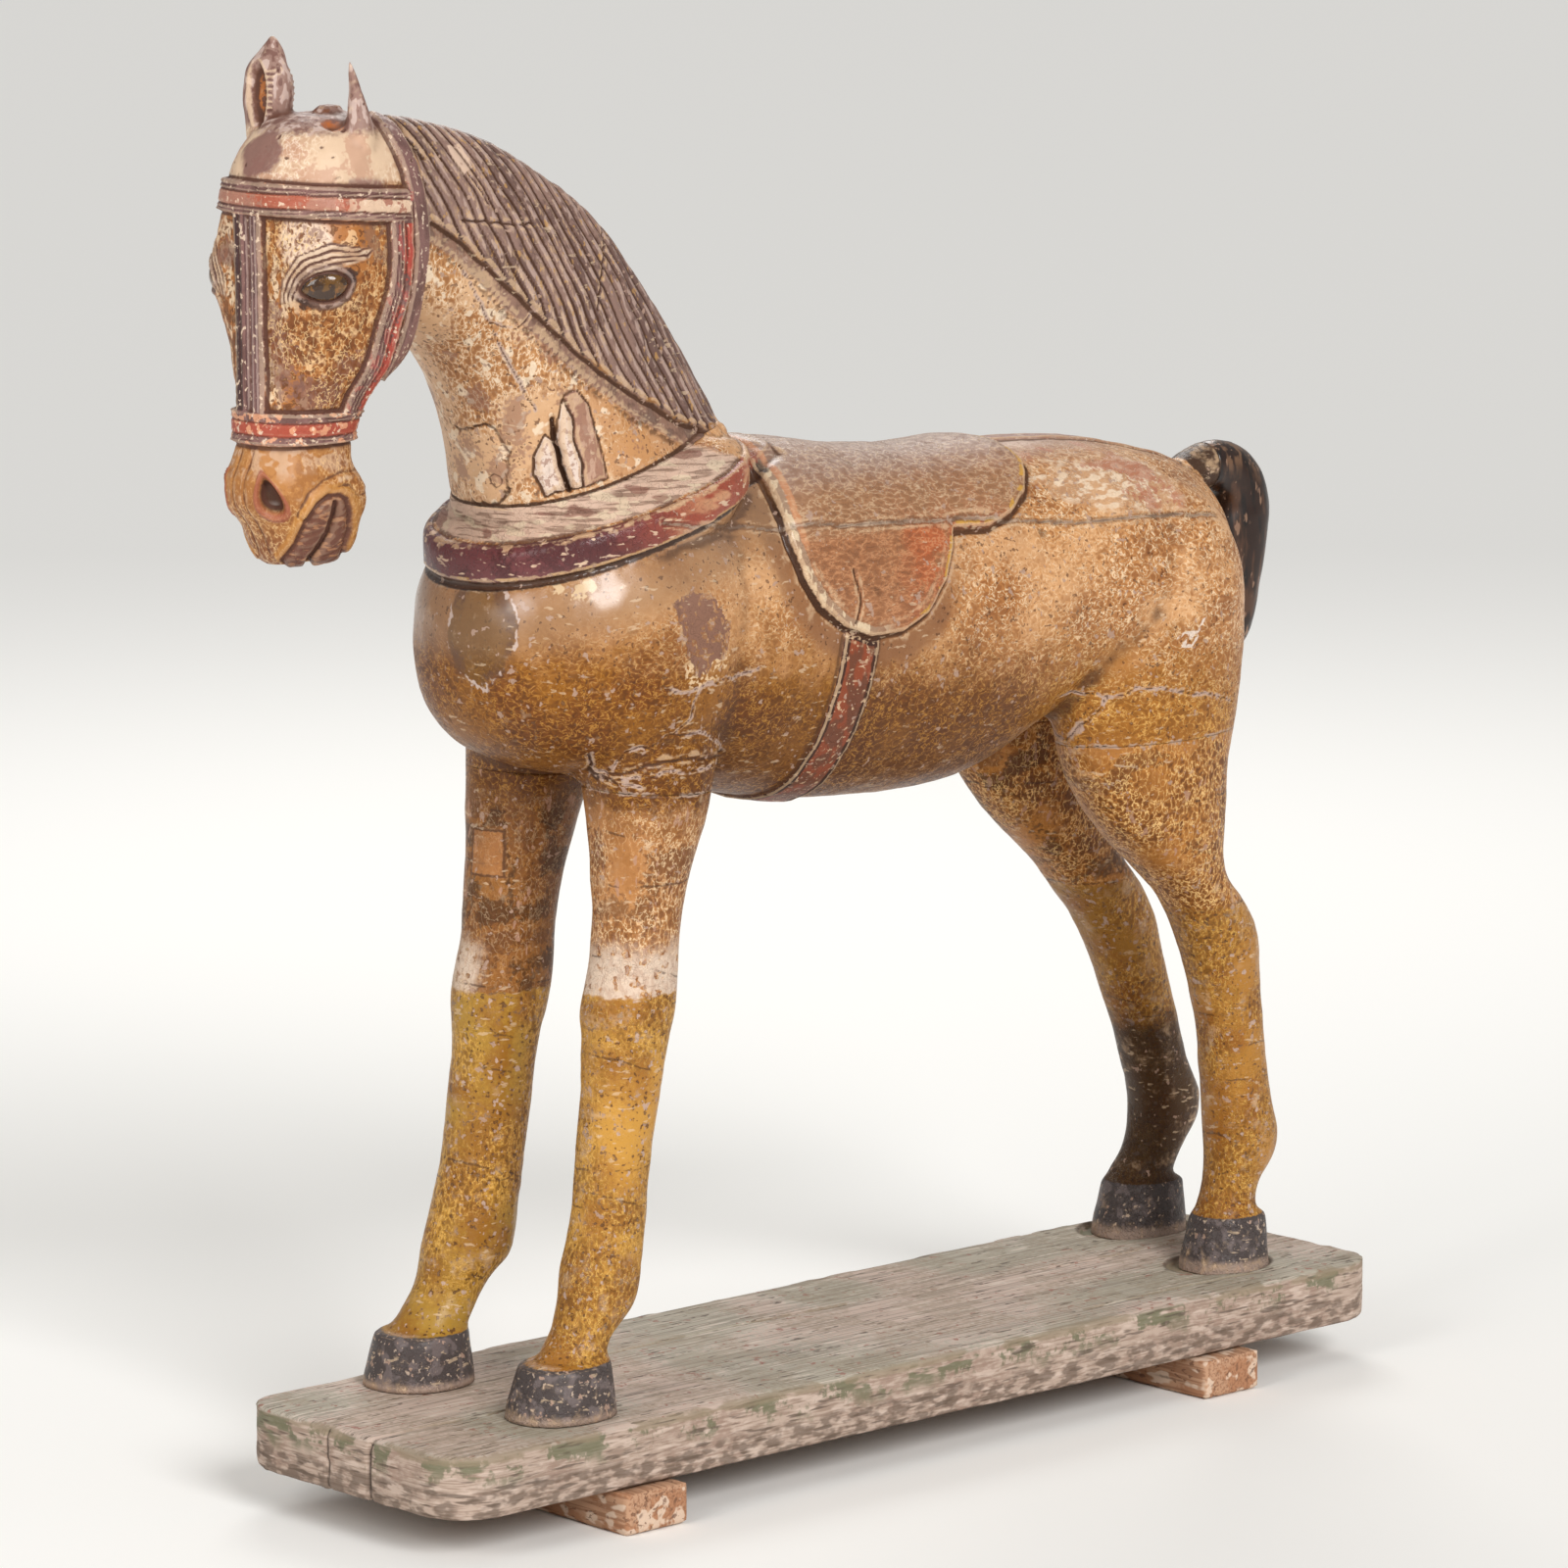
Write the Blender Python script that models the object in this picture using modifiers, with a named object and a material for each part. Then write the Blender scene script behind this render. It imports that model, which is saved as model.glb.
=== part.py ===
"""Carved and painted wooden horse, standing on its board and two battens.

Metres, +Z up. The horse faces -X and its left side is towards -Y.
The horse's own forms are drawn in carver's units: one unit is a millimetre at the real height,
with x counted back from the middle of the board and z up from the top of the board.
"""

import math

import bmesh
import bpy
import numpy as np
from mathutils import Matrix, Vector

# Driving dimensions, in metres
BOARD_LENGTH = 1.240
BOARD_WIDTH = 0.328
BOARD_THICK = 0.062
BOARD_CORNER = 0.055
BOARD_EDGE = 0.004
BATTEN_LENGTH = 0.354
BATTEN_WIDTH = 0.078
BATTEN_HEIGHT = 0.041
BATTEN_EDGE = 0.004
BATTEN_INSET = 0.236
BOARD_BEHIND = 0.008
HORSE_HEIGHT = 1.292
JOINT_GAP = 0.0003
POCKET_DEPTH = 0.006
POCKET_ROOM = 0.004
POCKET_SLOT = 0.016

# Depth of the carving, in metres
SADDLE_PROUD = 0.009
GIRTH_WIDTH = 0.046
GIRTH_PROUD = 0.004
STRAP_WIDTH = 0.024
STRAP_PROUD = 0.005
MANE_PROUD = 0.007
MANE_PITCH = 0.026
MANE_GROOVE = 0.005

# Fineness of the solids
UNIT = HORSE_HEIGHT / 1292.0
BODY_VOXEL = 6.0 * UNIT
HEAD_VOXEL = 3.6 * UNIT
RING_SIDES = 36
BODY_TRIANGLES = 5600
HEAD_TRIANGLES = 2500

# Cross sections: x, y, z, tilt of the ring in degrees, half width, reach in front, reach behind,
# squareness (2 is an ellipse) and taper (above 0 is wider in front).
# With no tilt a ring lies level and its front is towards the nose; at 90 its front is up.
BARREL = [
    (-300, 0, 705, 90, 136, 125, 100, 2.2, 0.0),
    (-250, 0, 705, 90, 140, 145, 116, 2.2, 0.0),
    (-200, 0, 705, 90, 142, 160, 143, 2.2, 0.0),
    (-105, 0, 705, 90, 143, 174, 167, 2.2, 0.0),
    (0, 0, 700, 90, 144, 164, 171, 2.2, 0.0),
    (80, 0, 698, 90, 144, 158, 171, 2.2, 0.0),
    (150, 0, 700, 90, 143, 157, 162, 2.2, 0.0),
    (230, 0, 706, 90, 143, 151, 128, 2.2, 0.0),
    (314, 0, 712, 90, 140, 139, 110, 2.2, 0.0),
    (400, 0, 716, 90, 128, 118, 100, 2.2, 0.0),
    (466, 0, 718, 90, 94, 96, 80, 2.1, 0.0),
    (506, 0, 718, 90, 60, 60, 50, 2.0, 0.0),
]
CHEST = [
    (-302, 0, 594, 0, 84, 72, 70, 2.1, 0.0),
    (-302, 0, 602, 0, 102, 96, 80, 2.1, 0.0),
    (-302, 0, 614, 0, 120, 122, 100, 2.1, 0.0),
    (-302, 0, 636, 0, 137, 147, 120, 2.1, 0.0),
    (-302, 0, 664, 0, 148, 164, 140, 2.1, 0.0),
    (-302, 0, 698, 0, 152, 172, 150, 2.1, 0.0),
    (-302, 0, 733, 0, 152, 173, 160, 2.1, 0.0),
    (-302, 0, 766, 0, 148, 167, 160, 2.1, 0.0),
    (-302, 0, 793, 0, 139, 154, 150, 2.1, 0.0),
    (-302, 0, 818, 0, 124, 138, 140, 2.1, 0.0),
]
HAUNCH = (376, 70, 686, 106, 79, 130)
LEG_FRONT_LEFT = [
    (-300, -78, 668, 0, 56, 74, 74, 2.2, 0.0),
    (-301, -80, 615, 0, 60, 70, 70, 2.2, 0.0),
    (-305, -83, 565, 0, 56, 60, 60, 2.2, 0.0),
    (-313, -84, 511, 0, 46, 51, 51, 2.1, 0.0),
    (-320, -85, 456, 0, 40, 44, 44, 2.1, 0.0),
    (-324, -85, 415, 0, 40, 45, 44, 2.2, 0.0),
    (-330, -85, 373, 0, 41, 47, 44, 2.3, 0.0),
    (-334, -85, 345, 0, 38, 43, 42, 2.2, 0.0),
    (-342, -86, 290, 0, 35, 40, 40, 2.1, 0.0),
    (-351, -86, 235, 0, 34, 38, 38, 2.1, 0.0),
    (-359, -87, 180, 0, 34, 37, 38, 2.1, 0.0),
    (-369, -87, 132, 0, 36, 40, 42, 2.1, 0.0),
    (-376, -88, 100, 0, 35, 38, 42, 2.1, 0.0),
    (-394, -88, 70, 0, 30, 33, 30, 2.1, 0.0),
    (-406, -89, 54, 0, 36, 38, 36, 2.1, 0.0),
]
LEG_FRONT_RIGHT = [
    (-297, 78, 668, 0, 56, 74, 74, 2.2, 0.0),
    (-300, 80, 615, 0, 60, 70, 70, 2.2, 0.0),
    (-308, 83, 570, 0, 56, 60, 60, 2.2, 0.0),
    (-317, 84, 520, 0, 49, 54, 54, 2.1, 0.0),
    (-326, 85, 470, 0, 44, 49, 49, 2.1, 0.0),
    (-331, 86, 425, 0, 42, 47, 46, 2.2, 0.0),
    (-338, 88, 369, 0, 44, 50, 47, 2.3, 0.0),
    (-345, 90, 314, 0, 39, 44, 43, 2.1, 0.0),
    (-353, 92, 258, 0, 38, 43, 43, 2.1, 0.0),
    (-362, 93, 202, 0, 38, 42, 43, 2.1, 0.0),
    (-373, 95, 147, 0, 41, 45, 47, 2.1, 0.0),
    (-380, 96, 117, 0, 41, 45, 47, 2.1, 0.0),
    (-394, 98, 92, 0, 34, 37, 36, 2.1, 0.0),
    (-413, 98, 66, 0, 35, 37, 36, 2.1, 0.0),
    (-423, 99, 52, 0, 37, 40, 38, 2.1, 0.0),
]
LEG_REAR_LEFT = [
    (385, -80, 740, 0, 54, 100, 84, 2.1, 0.0),
    (355, -88, 660, 0, 58, 118, 122, 2.1, 0.0),
    (348, -89, 608, 0, 59, 116, 120, 2.1, 0.0),
    (347, -88, 569, 0, 58, 110, 116, 2.1, 0.0),
    (352, -87, 520, 0, 55, 96, 102, 2.1, 0.0),
    (371, -85, 470, 0, 51, 76, 82, 2.1, 0.0),
    (392, -82, 436, 0, 47, 56, 60, 2.1, 0.0),
    (413, -79, 408, 0, 43, 43, 48, 2.1, 0.0),
    (440, -76, 382, 0, 40, 42, 46, 2.1, 0.0),
    (460, -74, 354, 0, 39, 44, 48, 2.1, 0.0),
    (470, -73, 330, 0, 38, 42, 47, 2.1, 0.0),
    (480, -72, 290, 0, 35, 39, 42, 2.1, 0.0),
    (489, -71, 250, 0, 33, 37, 39, 2.1, 0.0),
    (495, -70, 209, 0, 33, 36, 39, 2.1, 0.0),
    (501, -70, 168, 0, 34, 37, 41, 2.1, 0.0),
    (507, -69, 132, 0, 36, 38, 46, 2.1, 0.0),
    (507, -68, 106, 0, 34, 36, 42, 2.1, 0.0),
    (498, -68, 84, 0, 29, 31, 31, 2.1, 0.0),
    (493, -67, 62, 0, 30, 32, 30, 2.1, 0.0),
    (492, -67, 50, 0, 34, 36, 34, 2.1, 0.0),
]
LEG_REAR_RIGHT = [
    (385, 80, 740, 0, 54, 100, 84, 2.1, 0.0),
    (355, 88, 660, 0, 58, 118, 122, 2.1, 0.0),
    (350, 89, 608, 0, 59, 116, 120, 2.1, 0.0),
    (351, 89, 569, 0, 58, 110, 116, 2.1, 0.0),
    (361, 90, 520, 0, 55, 96, 102, 2.1, 0.0),
    (383, 91, 470, 0, 51, 78, 82, 2.1, 0.0),
    (408, 92, 432, 0, 47, 60, 62, 2.1, 0.0),
    (434, 93, 400, 0, 44, 48, 52, 2.1, 0.0),
    (459, 94, 373, 0, 44, 48, 52, 2.1, 0.0),
    (478, 95, 350, 0, 41, 46, 50, 2.1, 0.0),
    (491, 95, 328, 0, 39, 44, 48, 2.1, 0.0),
    (504, 96, 302, 0, 37, 42, 44, 2.1, 0.0),
    (522, 98, 262, 0, 35, 39, 41, 2.1, 0.0),
    (540, 100, 219, 0, 34, 37, 39, 2.1, 0.0),
    (555, 101, 176, 0, 34, 36, 39, 2.1, 0.0),
    (569, 102, 140, 0, 35, 38, 44, 2.1, 0.0),
    (570, 103, 112, 0, 34, 37, 42, 2.1, 0.0),
    (561, 104, 84, 0, 31, 34, 32, 2.1, 0.0),
    (545, 105, 62, 0, 32, 34, 32, 2.1, 0.0),
    (541, 105, 50, 0, 34, 37, 35, 2.1, 0.0),
]
LEGS = {
    "leg_front_left": LEG_FRONT_LEFT,
    "leg_front_right": LEG_FRONT_RIGHT,
    "leg_rear_left": LEG_REAR_LEFT,
    "leg_rear_right": LEG_REAR_RIGHT,
}
# Hooves: x and y of the middle on the board, half width and half length there
HOOVES = {
    "leg_front_left": (-421, -90, 48, 56),
    "leg_front_right": (-436, 99, 50, 56),
    "leg_rear_left": (490, -67, 43, 48),
    "leg_rear_right": (541, 105, 46, 52),
}
HOOF_TALL = 52.0
HOOF_BACK = 0.55
# Height as a share of the hoof's own height, with the share of the width there
HOOF_SHARES = [(-0.5, 1.0), (0.1, 0.99), (0.86, 0.85), (1.0, 0.79)]
NECK = [
    # throat x and z, crest x and z, half width, squareness, taper
    (-436, 800, -148, 830, 108, 2.1, 0.1),
    (-440, 845, -152, 880, 100, 2.1, 0.18),
    (-447, 886, -174, 929, 89, 2.1, 0.26),
    (-460, 922, -199, 974, 80, 2.0, 0.34),
    (-474, 956, -231, 1021, 75, 2.0, 0.4),
    (-492, 985, -269, 1070, 72, 2.0, 0.42),
    (-516, 1008, -322, 1120, 69, 2.0, 0.42),
    (-546, 1024, -396, 1166, 68, 2.0, 0.38),
    (-576, 1036, -466, 1196, 67, 2.0, 0.3),
    (-614, 1046, -541, 1212, 66, 2.0, 0.2),
    (-650, 1060, -606, 1214, 64, 2.0, 0.1),
]
COLLAR = [
    # x of the middle, z, half width, reach in front, reach behind
    (-300, 800, 120, 148, 140),
    (-300, 821, 133, 163, 150),
    (-300, 826, 137, 167, 153),
    (-300, 850, 137, 167, 153),
    (-299, 856, 133, 162, 149),
    (-296, 872, 112, 143, 132),
    (-292, 884, 94, 122, 112),
]
COLLAR_TILT = -14.5
HEAD = [
    # z, x of the front, x of the back, half width, squareness, taper
    (1224, -650, -590, 24, 2.0, 0.0),
    (1216, -674, -560, 50, 2.1, 0.0),
    (1198, -692, -540, 66, 2.2, 0.0),
    (1174, -703, -530, 75, 2.4, -0.02),
    (1150, -706, -528, 80, 2.6, -0.04),
    (1120, -706, -530, 83, 2.7, -0.06),
    (1085, -705, -538, 84, 2.7, -0.08),
    (1050, -705, -546, 81, 2.6, -0.12),
    (1020, -705, -552, 76, 2.5, -0.14),
    (998, -705, -568, 70, 2.4, -0.12),
    (981, -705, -584, 61, 2.4, -0.1),
    (963, -705, -597, 54, 2.4, -0.06),
    (942, -707, -604, 49, 2.4, -0.02),
    (926, -710, -602, 46, 2.3, 0.0),
    (911, -716, -603, 48, 2.3, 0.0),
    (900, -722, -597, 51, 2.3, 0.0),
    (886, -723, -589, 53, 2.3, 0.0),
    (872, -720, -587, 53, 2.3, 0.0),
    (862, -712, -590, 51, 2.3, 0.0),
    (850, -703, -597, 48, 2.3, 0.0),
    (836, -697, -601, 44, 2.3, 0.0),
    (824, -692, -608, 36, 2.2, 0.0),
    (818, -684, -618, 22, 2.0, 0.0),
]
EAR_RIGHT = [
    (-640, 50, 1186, 0, 22, 20, 18, 2.0, 0.0),
    (-641, 51, 1212, 0, 25, 19, 18, 2.0, 0.0),
    (-640, 52, 1233, 0, 28, 21, 21, 2.0, 0.0),
    (-639, 52, 1250, 0, 28, 20, 20, 2.0, 0.0),
    (-640, 52, 1264, 0, 24, 16, 16, 2.0, 0.0),
    (-636, 52, 1276, 0, 16, 12, 12, 2.0, 0.0),
    (-634, 52, 1285, 0, 9, 7, 7, 2.0, 0.0),
    (-634, 52, 1292, 0, 3, 3, 3, 2.0, 0.0),
]
EAR_LEFT = [
    (-622, -52, 1186, 0, 18, 18, 18, 2.0, 0.0),
    (-620, -52, 1212, 0, 15, 15, 15, 2.0, 0.0),
    (-621, -52, 1230, 0, 11, 11, 11, 2.0, 0.0),
    (-623, -52, 1246, 0, 8, 7, 7, 2.0, 0.0),
    (-626, -52, 1260, 0, 6, 5, 5, 2.0, 0.0),
    (-630, -52, 1275, 0, 2, 2, 2, 2.0, 0.0),
]
FORELOCK = [
    (-618, 0, 1206, 0, 15, 14, 16, 2.2, 0.0),
    (-614, 0, 1225, 0, 13, 11, 14, 2.4, 0.0),
    (-611, 0, 1231, 0, 10, 8, 10, 2.4, 0.0),
]
TAIL = [
    (440, 0, 778, 72, 24, 20, 22, 2.0, 0.0),
    (484, 0, 796, 74, 25, 20, 24, 2.0, 0.0),
    (521, 0, 806, 88, 26, 24, 26, 2.0, 0.0),
    (548, 0, 799, 118, 27, 29, 28, 2.0, 0.0),
    (565, 0, 780, 150, 29, 33, 34, 2.0, 0.0),
    (573, 0, 752, 176, 31, 29, 46, 2.1, 0.0),
    (570, 0, 712, 184, 31, 25, 46, 2.1, 0.0),
    (567, 0, 672, 184, 28, 21, 38, 2.1, 0.0),
    (565, 0, 638, 184, 23, 17, 27, 2.0, 0.0),
    (563, 0, 612, 184, 11, 9, 12, 2.0, 0.0),
]

# Outlines of the relief, seen from the side: x and z
SADDLE_OUTLINE = [
    (-142, 1000),
    (-143, 890),
    (-150, 858),
    (-158, 830),
    (-161, 800),
    (-154, 768),
    (-136, 740),
    (-110, 719),
    (-76, 706),
    (-35, 707),
    (-2, 722),
    (26, 750),
    (44, 778),
    (52, 793),
    (100, 791),
    (135, 801),
    (168, 818),
    (194, 840),
    (203, 870),
    (203, 1000),
]
GIRTH_LINE = [(-84, 712), (-98, 643), (-105, 589), (-104, 552), (-104, 480)]
CHEEK_STRAP = [
    (-592, 1150),
    (-594, 1109),
    (-599, 1074),
    (-609, 1039),
    (-621, 1004),
    (-632, 972),
    (-642, 942),
]
THROAT_STRAP = [
    (-584, 1211),
    (-578, 1177),
    (-577, 1147),
    (-575, 1107),
    (-580, 1063),
    (-588, 1024),
    (-594, 995),
]
MOUTH_SLIT = [(-650, 874), (-659, 863), (-665, 849), (-669, 836), (-667, 815)]
LIP_EDGE = [
    (-681, 829),
    (-682, 847),
    (-678, 864),
    (-667, 878),
    (-651, 885),
    (-630, 884),
    (-621, 872),
    (-620, 858),
    (-616, 841),
]
MANE_EDGE = [
    (-620, 1165),
    (-531, 1116),
    (-483, 1077),
    (-433, 1034),
    (-383, 992),
    (-322, 953),
    (-258, 920),
    (-215, 906),
    (-120, 890),
]
# Sizes of the relief, in carver's units
BODY_SOFT = 7.0
HEAD_SOFT = 4.0
SEAT_Z = 797.0
SEAT_RAISE = 0.1
CRUPPER_FROM = 206.0
CRUPPER_TO = 470.0
CRUPPER_HALF = 14.0
CRUPPER_PROUD = 3.0
MANE_END = -122.0
MANE_FOOT = 888.0
MANE_WAVE = 4.0
MANE_WAVE_LENGTH = 240.0
MANE_EDGE_SLOPE = 0.72
MANE_LEAN = (0.90, 0.43)
SADDLE_BOTTOM = 716.0
STRAPS_MEET = 584.0
FACE_FRONT = 680.0
LIP_SIDE = 26.0
EYE = (-674.0, 1078.0)
EYE_SIZE = (17.0, 14.0)
EYE_SLOPE = 0.30
EYE_SOCKET = (42.0, 48.0, 14.0)
LID_PROUD = 3.0
LID_CUT = 3.0
LID_WIDE = 0.25
ARCH_WIDE = 0.2
ARCH_SIZE = (33.0, 38.0)
ARCH_PROUD = 2.5
NOSTRIL = (-712.0, 30.0, 885.0)
NOSTRIL_SIZE = (14.0, 11.0, 18.0)
NOSTRIL_DEEP = 11.0
NOSTRIL_RIM = 2.5
NOSTRIL_POINT = 0.35
NOSTRIL_SOFT = 0.3
SLIT_HALF = 3.0
SLIT_DEEP = 6.0
LIP_HALF = 5.0
LIP_PROUD = 2.5
EAR_HOLLOW = (-664.0, 62.0, 1244.0)
EAR_HOLLOW_SIZE = (18.0, 13.0, 26.0)
EAR_HOLLOW_DEEP = 11.0
EAR_BREAK = (-645.0, -50.0, 1222.0)
EAR_BREAK_SIZE = (12.0, 10.0, 10.0)
EAR_BREAK_DEEP = 6.0
# Joints, seen from the side: a point and a direction across the joint, or a cut's outline
HEAD_JOINT = ((-559, 1116), (-0.99, 0.13))
NECK_JOINT = ((-300, 884), (-0.242, 0.970))
TAIL_JOINT = 518.0
FAR = 400
FRONT_SEAM = [
    (-700, 592),
    (-460, 592),
    (-236, 576),
]
REAR_SEAM = [
    (700, 560),
    (206, 560),
    (150, 504),
]
# Pairs of legs, the seam above them and how far they are let into the board
LEG_SEAMS = {
    ("leg_front_left", "leg_front_right"): (FRONT_SEAM, 0.0),
    ("leg_rear_left", "leg_rear_right"): (REAR_SEAM, POCKET_DEPTH),
}
BELOW = -60.0
BROW_Z = 1150.0
NOSE_Z = 942.0

# Paint of each piece, as linear red, green and blue with its roughness
PAINTS = {
    "head": ((0.42, 0.24, 0.09), 0.45),
    "neck": ((0.40, 0.23, 0.10), 0.48),
    "trunk": ((0.26, 0.13, 0.04), 0.40),
    "leg": ((0.34, 0.19, 0.04), 0.48),
    "tail": ((0.05, 0.03, 0.02), 0.50),
    "base": ((0.20, 0.16, 0.11), 0.80),
    "batten": ((0.38, 0.20, 0.10), 0.80),
}


def smooth_rows(rows, count):
    """A station table made count rows long, by a smooth curve through every column."""
    rows = np.array(rows, float)
    ends = np.vstack([2 * rows[0] - rows[1], rows, 2 * rows[-1] - rows[-2]])
    made = []
    for place in np.linspace(0, len(rows) - 1 - 1e-9, count):
        i = int(place)
        t = place - i
        a, b, c, d = ends[i : i + 4]
        square = 2 * a - 5 * b + 4 * c - d
        cube = 3 * b - a - 3 * c + d
        made.append(0.5 * (2 * b + (c - a) * t + square * t**2 + cube * t**3))
    return made


def ring(x, y, z, tilt, half, front, back, square, taper):
    """The points of one cross section, in carver's units."""
    lean = math.radians(tilt)
    points = []
    for k in range(RING_SIDES):
        turn = 2 * math.pi * k / RING_SIDES
        c, s = math.cos(turn), math.sin(turn)
        side = math.copysign(abs(c) ** (2 / square), c)
        along = math.copysign(abs(s) ** (2 / square), s)
        across = half * side * (1 + taper * along)
        reach = along * (front if s > 0 else back)
        points.append((x - reach * math.cos(lean), y + across, z + reach * math.sin(lean)))
    return points


def loft(bm, rings):
    """Adds a closed solid through the rings, by bridging circles."""
    edges = []
    last = len(rings) - 1
    for i, points in enumerate(rings):
        ends = i in (0, last)
        made = bmesh.ops.create_circle(bm, segments=len(points), radius=1.0, cap_ends=ends)
        for vert, point in zip(made["verts"], points):
            vert.co = Vector(point) * UNIT
        edges.append(list({e for v in made["verts"] for e in v.link_edges}))
    for first, second in zip(edges, edges[1:]):
        bmesh.ops.bridge_loops(bm, edges=first + second)


def tube(bm, rows, count):
    """Adds a limb from its station table."""
    loft(bm, [ring(*row) for row in smooth_rows(rows, count)])


def ellipsoid(bm, x, y, z, length, width, height):
    """Adds a rounded mass from its middle and its half sizes."""
    place = Matrix.Translation(Vector((x, y, z)) * UNIT)
    size = Matrix.Diagonal(Vector((length, width, height, 1.0 / UNIT)) * UNIT)
    bmesh.ops.create_uvsphere(bm, u_segments=32, v_segments=20, radius=1.0, matrix=place @ size)


def neck_rings():
    """The neck's rings, each between a throat point and a crest point."""
    rings = []
    for tx, tz, cx, cz, half, square, taper in smooth_rows(NECK, 30):
        reach = math.hypot(tx - cx, tz - cz) / 2
        tilt = math.degrees(math.atan2(tz - cz, cx - tx))
        rings.append(ring((tx + cx) / 2, 0, (tz + cz) / 2, tilt, half, reach, reach, square, taper))
    return rings


def head_rings():
    """The head's level rings, from the poll down to the lips."""
    rings = []
    for z, front, back, half, square, taper in smooth_rows(HEAD, 48):
        reach = (back - front) / 2
        rings.append(ring((front + back) / 2, 0, z, 0, half, reach, reach, square, taper))
    return rings


def hoof_rings(x, y, half, length):
    """A hoof: wide on the board, narrower and further back at the coronet."""
    rings = []
    for height, share in HOOF_SHARES:
        back = (1 - share) * length * HOOF_BACK
        reach = length * share
        rings.append(ring(x + back, y, height * HOOF_TALL, 0, half * share, reach, reach, 2.2, 0.0))
    return rings


def mesh_object(name, bm, collection):
    """An object made from a bmesh, with its faces pointing out."""
    bmesh.ops.recalc_face_normals(bm, faces=bm.faces)
    mesh = bpy.data.meshes.new(name)
    bm.to_mesh(mesh)
    bm.free()
    made = bpy.data.objects.new(name, mesh)
    collection.objects.link(made)
    return made


def settled(made):
    """The object with its modifiers worked into its mesh."""
    bpy.context.view_layer.update()
    graph = bpy.context.evaluated_depsgraph_get()
    mesh = bpy.data.meshes.new_from_object(made.evaluated_get(graph), depsgraph=graph)
    old = made.data
    made.modifiers.clear()
    made.data = mesh
    mesh.name = made.name
    bpy.data.meshes.remove(old)
    return made


def fused(made, voxel, rounds):
    """The object's overlapping masses as one skin, softened where they meet."""
    remesh = made.modifiers.new("one skin", "REMESH")
    remesh.mode = "VOXEL"
    remesh.voxel_size = voxel
    settled(made)
    bm = bmesh.new()
    bm.from_mesh(made.data)
    axes = {"use_axis_x": True, "use_axis_y": True, "use_axis_z": True}
    for _ in range(rounds):
        bmesh.ops.smooth_vert(bm, verts=bm.verts, factor=0.5, **axes)
    bm.to_mesh(made.data)
    bm.free()
    return made


def thinned(made, triangles):
    """The object brought down to a number of triangles."""
    made.data.calc_loop_triangles()
    decimate = made.modifiers.new("fewer faces", "DECIMATE")
    decimate.ratio = triangles / len(made.data.loop_triangles)
    return settled(made)


def rise(value, start, soft):
    """0 below start, 1 above it, with a soft edge."""
    t = np.clip((value - start) / soft + 0.5, 0.0, 1.0)
    return t * t * (3 - 2 * t)


def line_distance(x, z, points):
    """Distance from a line of points in the side view."""
    best = np.full(x.shape, np.inf)
    for (ax, az), (bx, bz) in zip(points, points[1:]):
        dx, dz = bx - ax, bz - az
        t = np.clip(((x - ax) * dx + (z - az) * dz) / (dx * dx + dz * dz), 0.0, 1.0)
        best = np.minimum(best, np.hypot(x - ax - t * dx, z - az - t * dz))
    return best


def inside_distance(x, z, outline):
    """Distance inside an outline in the side view, negative outside."""
    inside = np.zeros(x.shape, bool)
    for (ax, az), (bx, bz) in zip(outline, outline[1:] + outline[:1]):
        crosses = (az > z) != (bz > z)
        with np.errstate(divide="ignore", invalid="ignore"):
            inside ^= crosses & (x < (bx - ax) * (z - az) / (bz - az) + ax)
    return np.where(inside, 1, -1) * line_distance(x, z, outline + outline[:1])


def hump(x, y, z, middle, size):
    """1 at the middle, falling away to 0 over the given sizes."""
    parts = zip((x, y, z), middle, size)
    return np.exp(-sum(((place - centre) / reach) ** 2 for place, centre, reach in parts))


def body_relief(x, y, z):
    """Height of the carving on the body, in carver's units."""
    saddle = SADDLE_PROUD / UNIT
    depth = inside_distance(x, z, SADDLE_OUTLINE)
    blanket = rise(depth, 0.0, BODY_SOFT)
    height = saddle * blanket * (1 + SEAT_RAISE * rise(z, SEAT_Z, BODY_SOFT))
    strap = rise(-line_distance(x, z, GIRTH_LINE), -GIRTH_WIDTH / UNIT / 2, BODY_SOFT)
    height += GIRTH_PROUD / UNIT * strap * (1 - blanket) * rise(-z, -SADDLE_BOTTOM, BODY_SOFT)
    crupper = rise(-np.abs(y), -CRUPPER_HALF, BODY_SOFT) * rise(z, SEAT_Z, BODY_SOFT)
    crupper *= rise(x, CRUPPER_FROM, BODY_SOFT) * rise(-x, -CRUPPER_TO, BODY_SOFT)
    return height + CRUPPER_PROUD * crupper + mane_relief(x, y, z)


def mane_relief(x, y, z):
    """The mane stands above the neck and is cut by slanting flutes."""
    edge_z = np.interp(x, [point[0] for point in MANE_EDGE], [point[1] for point in MANE_EDGE])
    above = (z - edge_z) * MANE_EDGE_SLOPE
    mane = rise(above, 0.0, BODY_SOFT) * rise(-x, -MANE_END, BODY_SOFT) * rise(z, MANE_FOOT, BODY_SOFT)
    across = MANE_LEAN[0] * x + MANE_LEAN[1] * z + MANE_WAVE * np.sin(2 * math.pi * z / MANE_WAVE_LENGTH)
    flute = np.abs(np.sin(math.pi * across * UNIT / MANE_PITCH))
    crown = rise(-np.abs(y), 0.0, 2 * BODY_SOFT)
    return mane * (MANE_PROUD - MANE_GROOVE * (1 - flute) ** 2 * (1 - crown)) / UNIT


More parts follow.
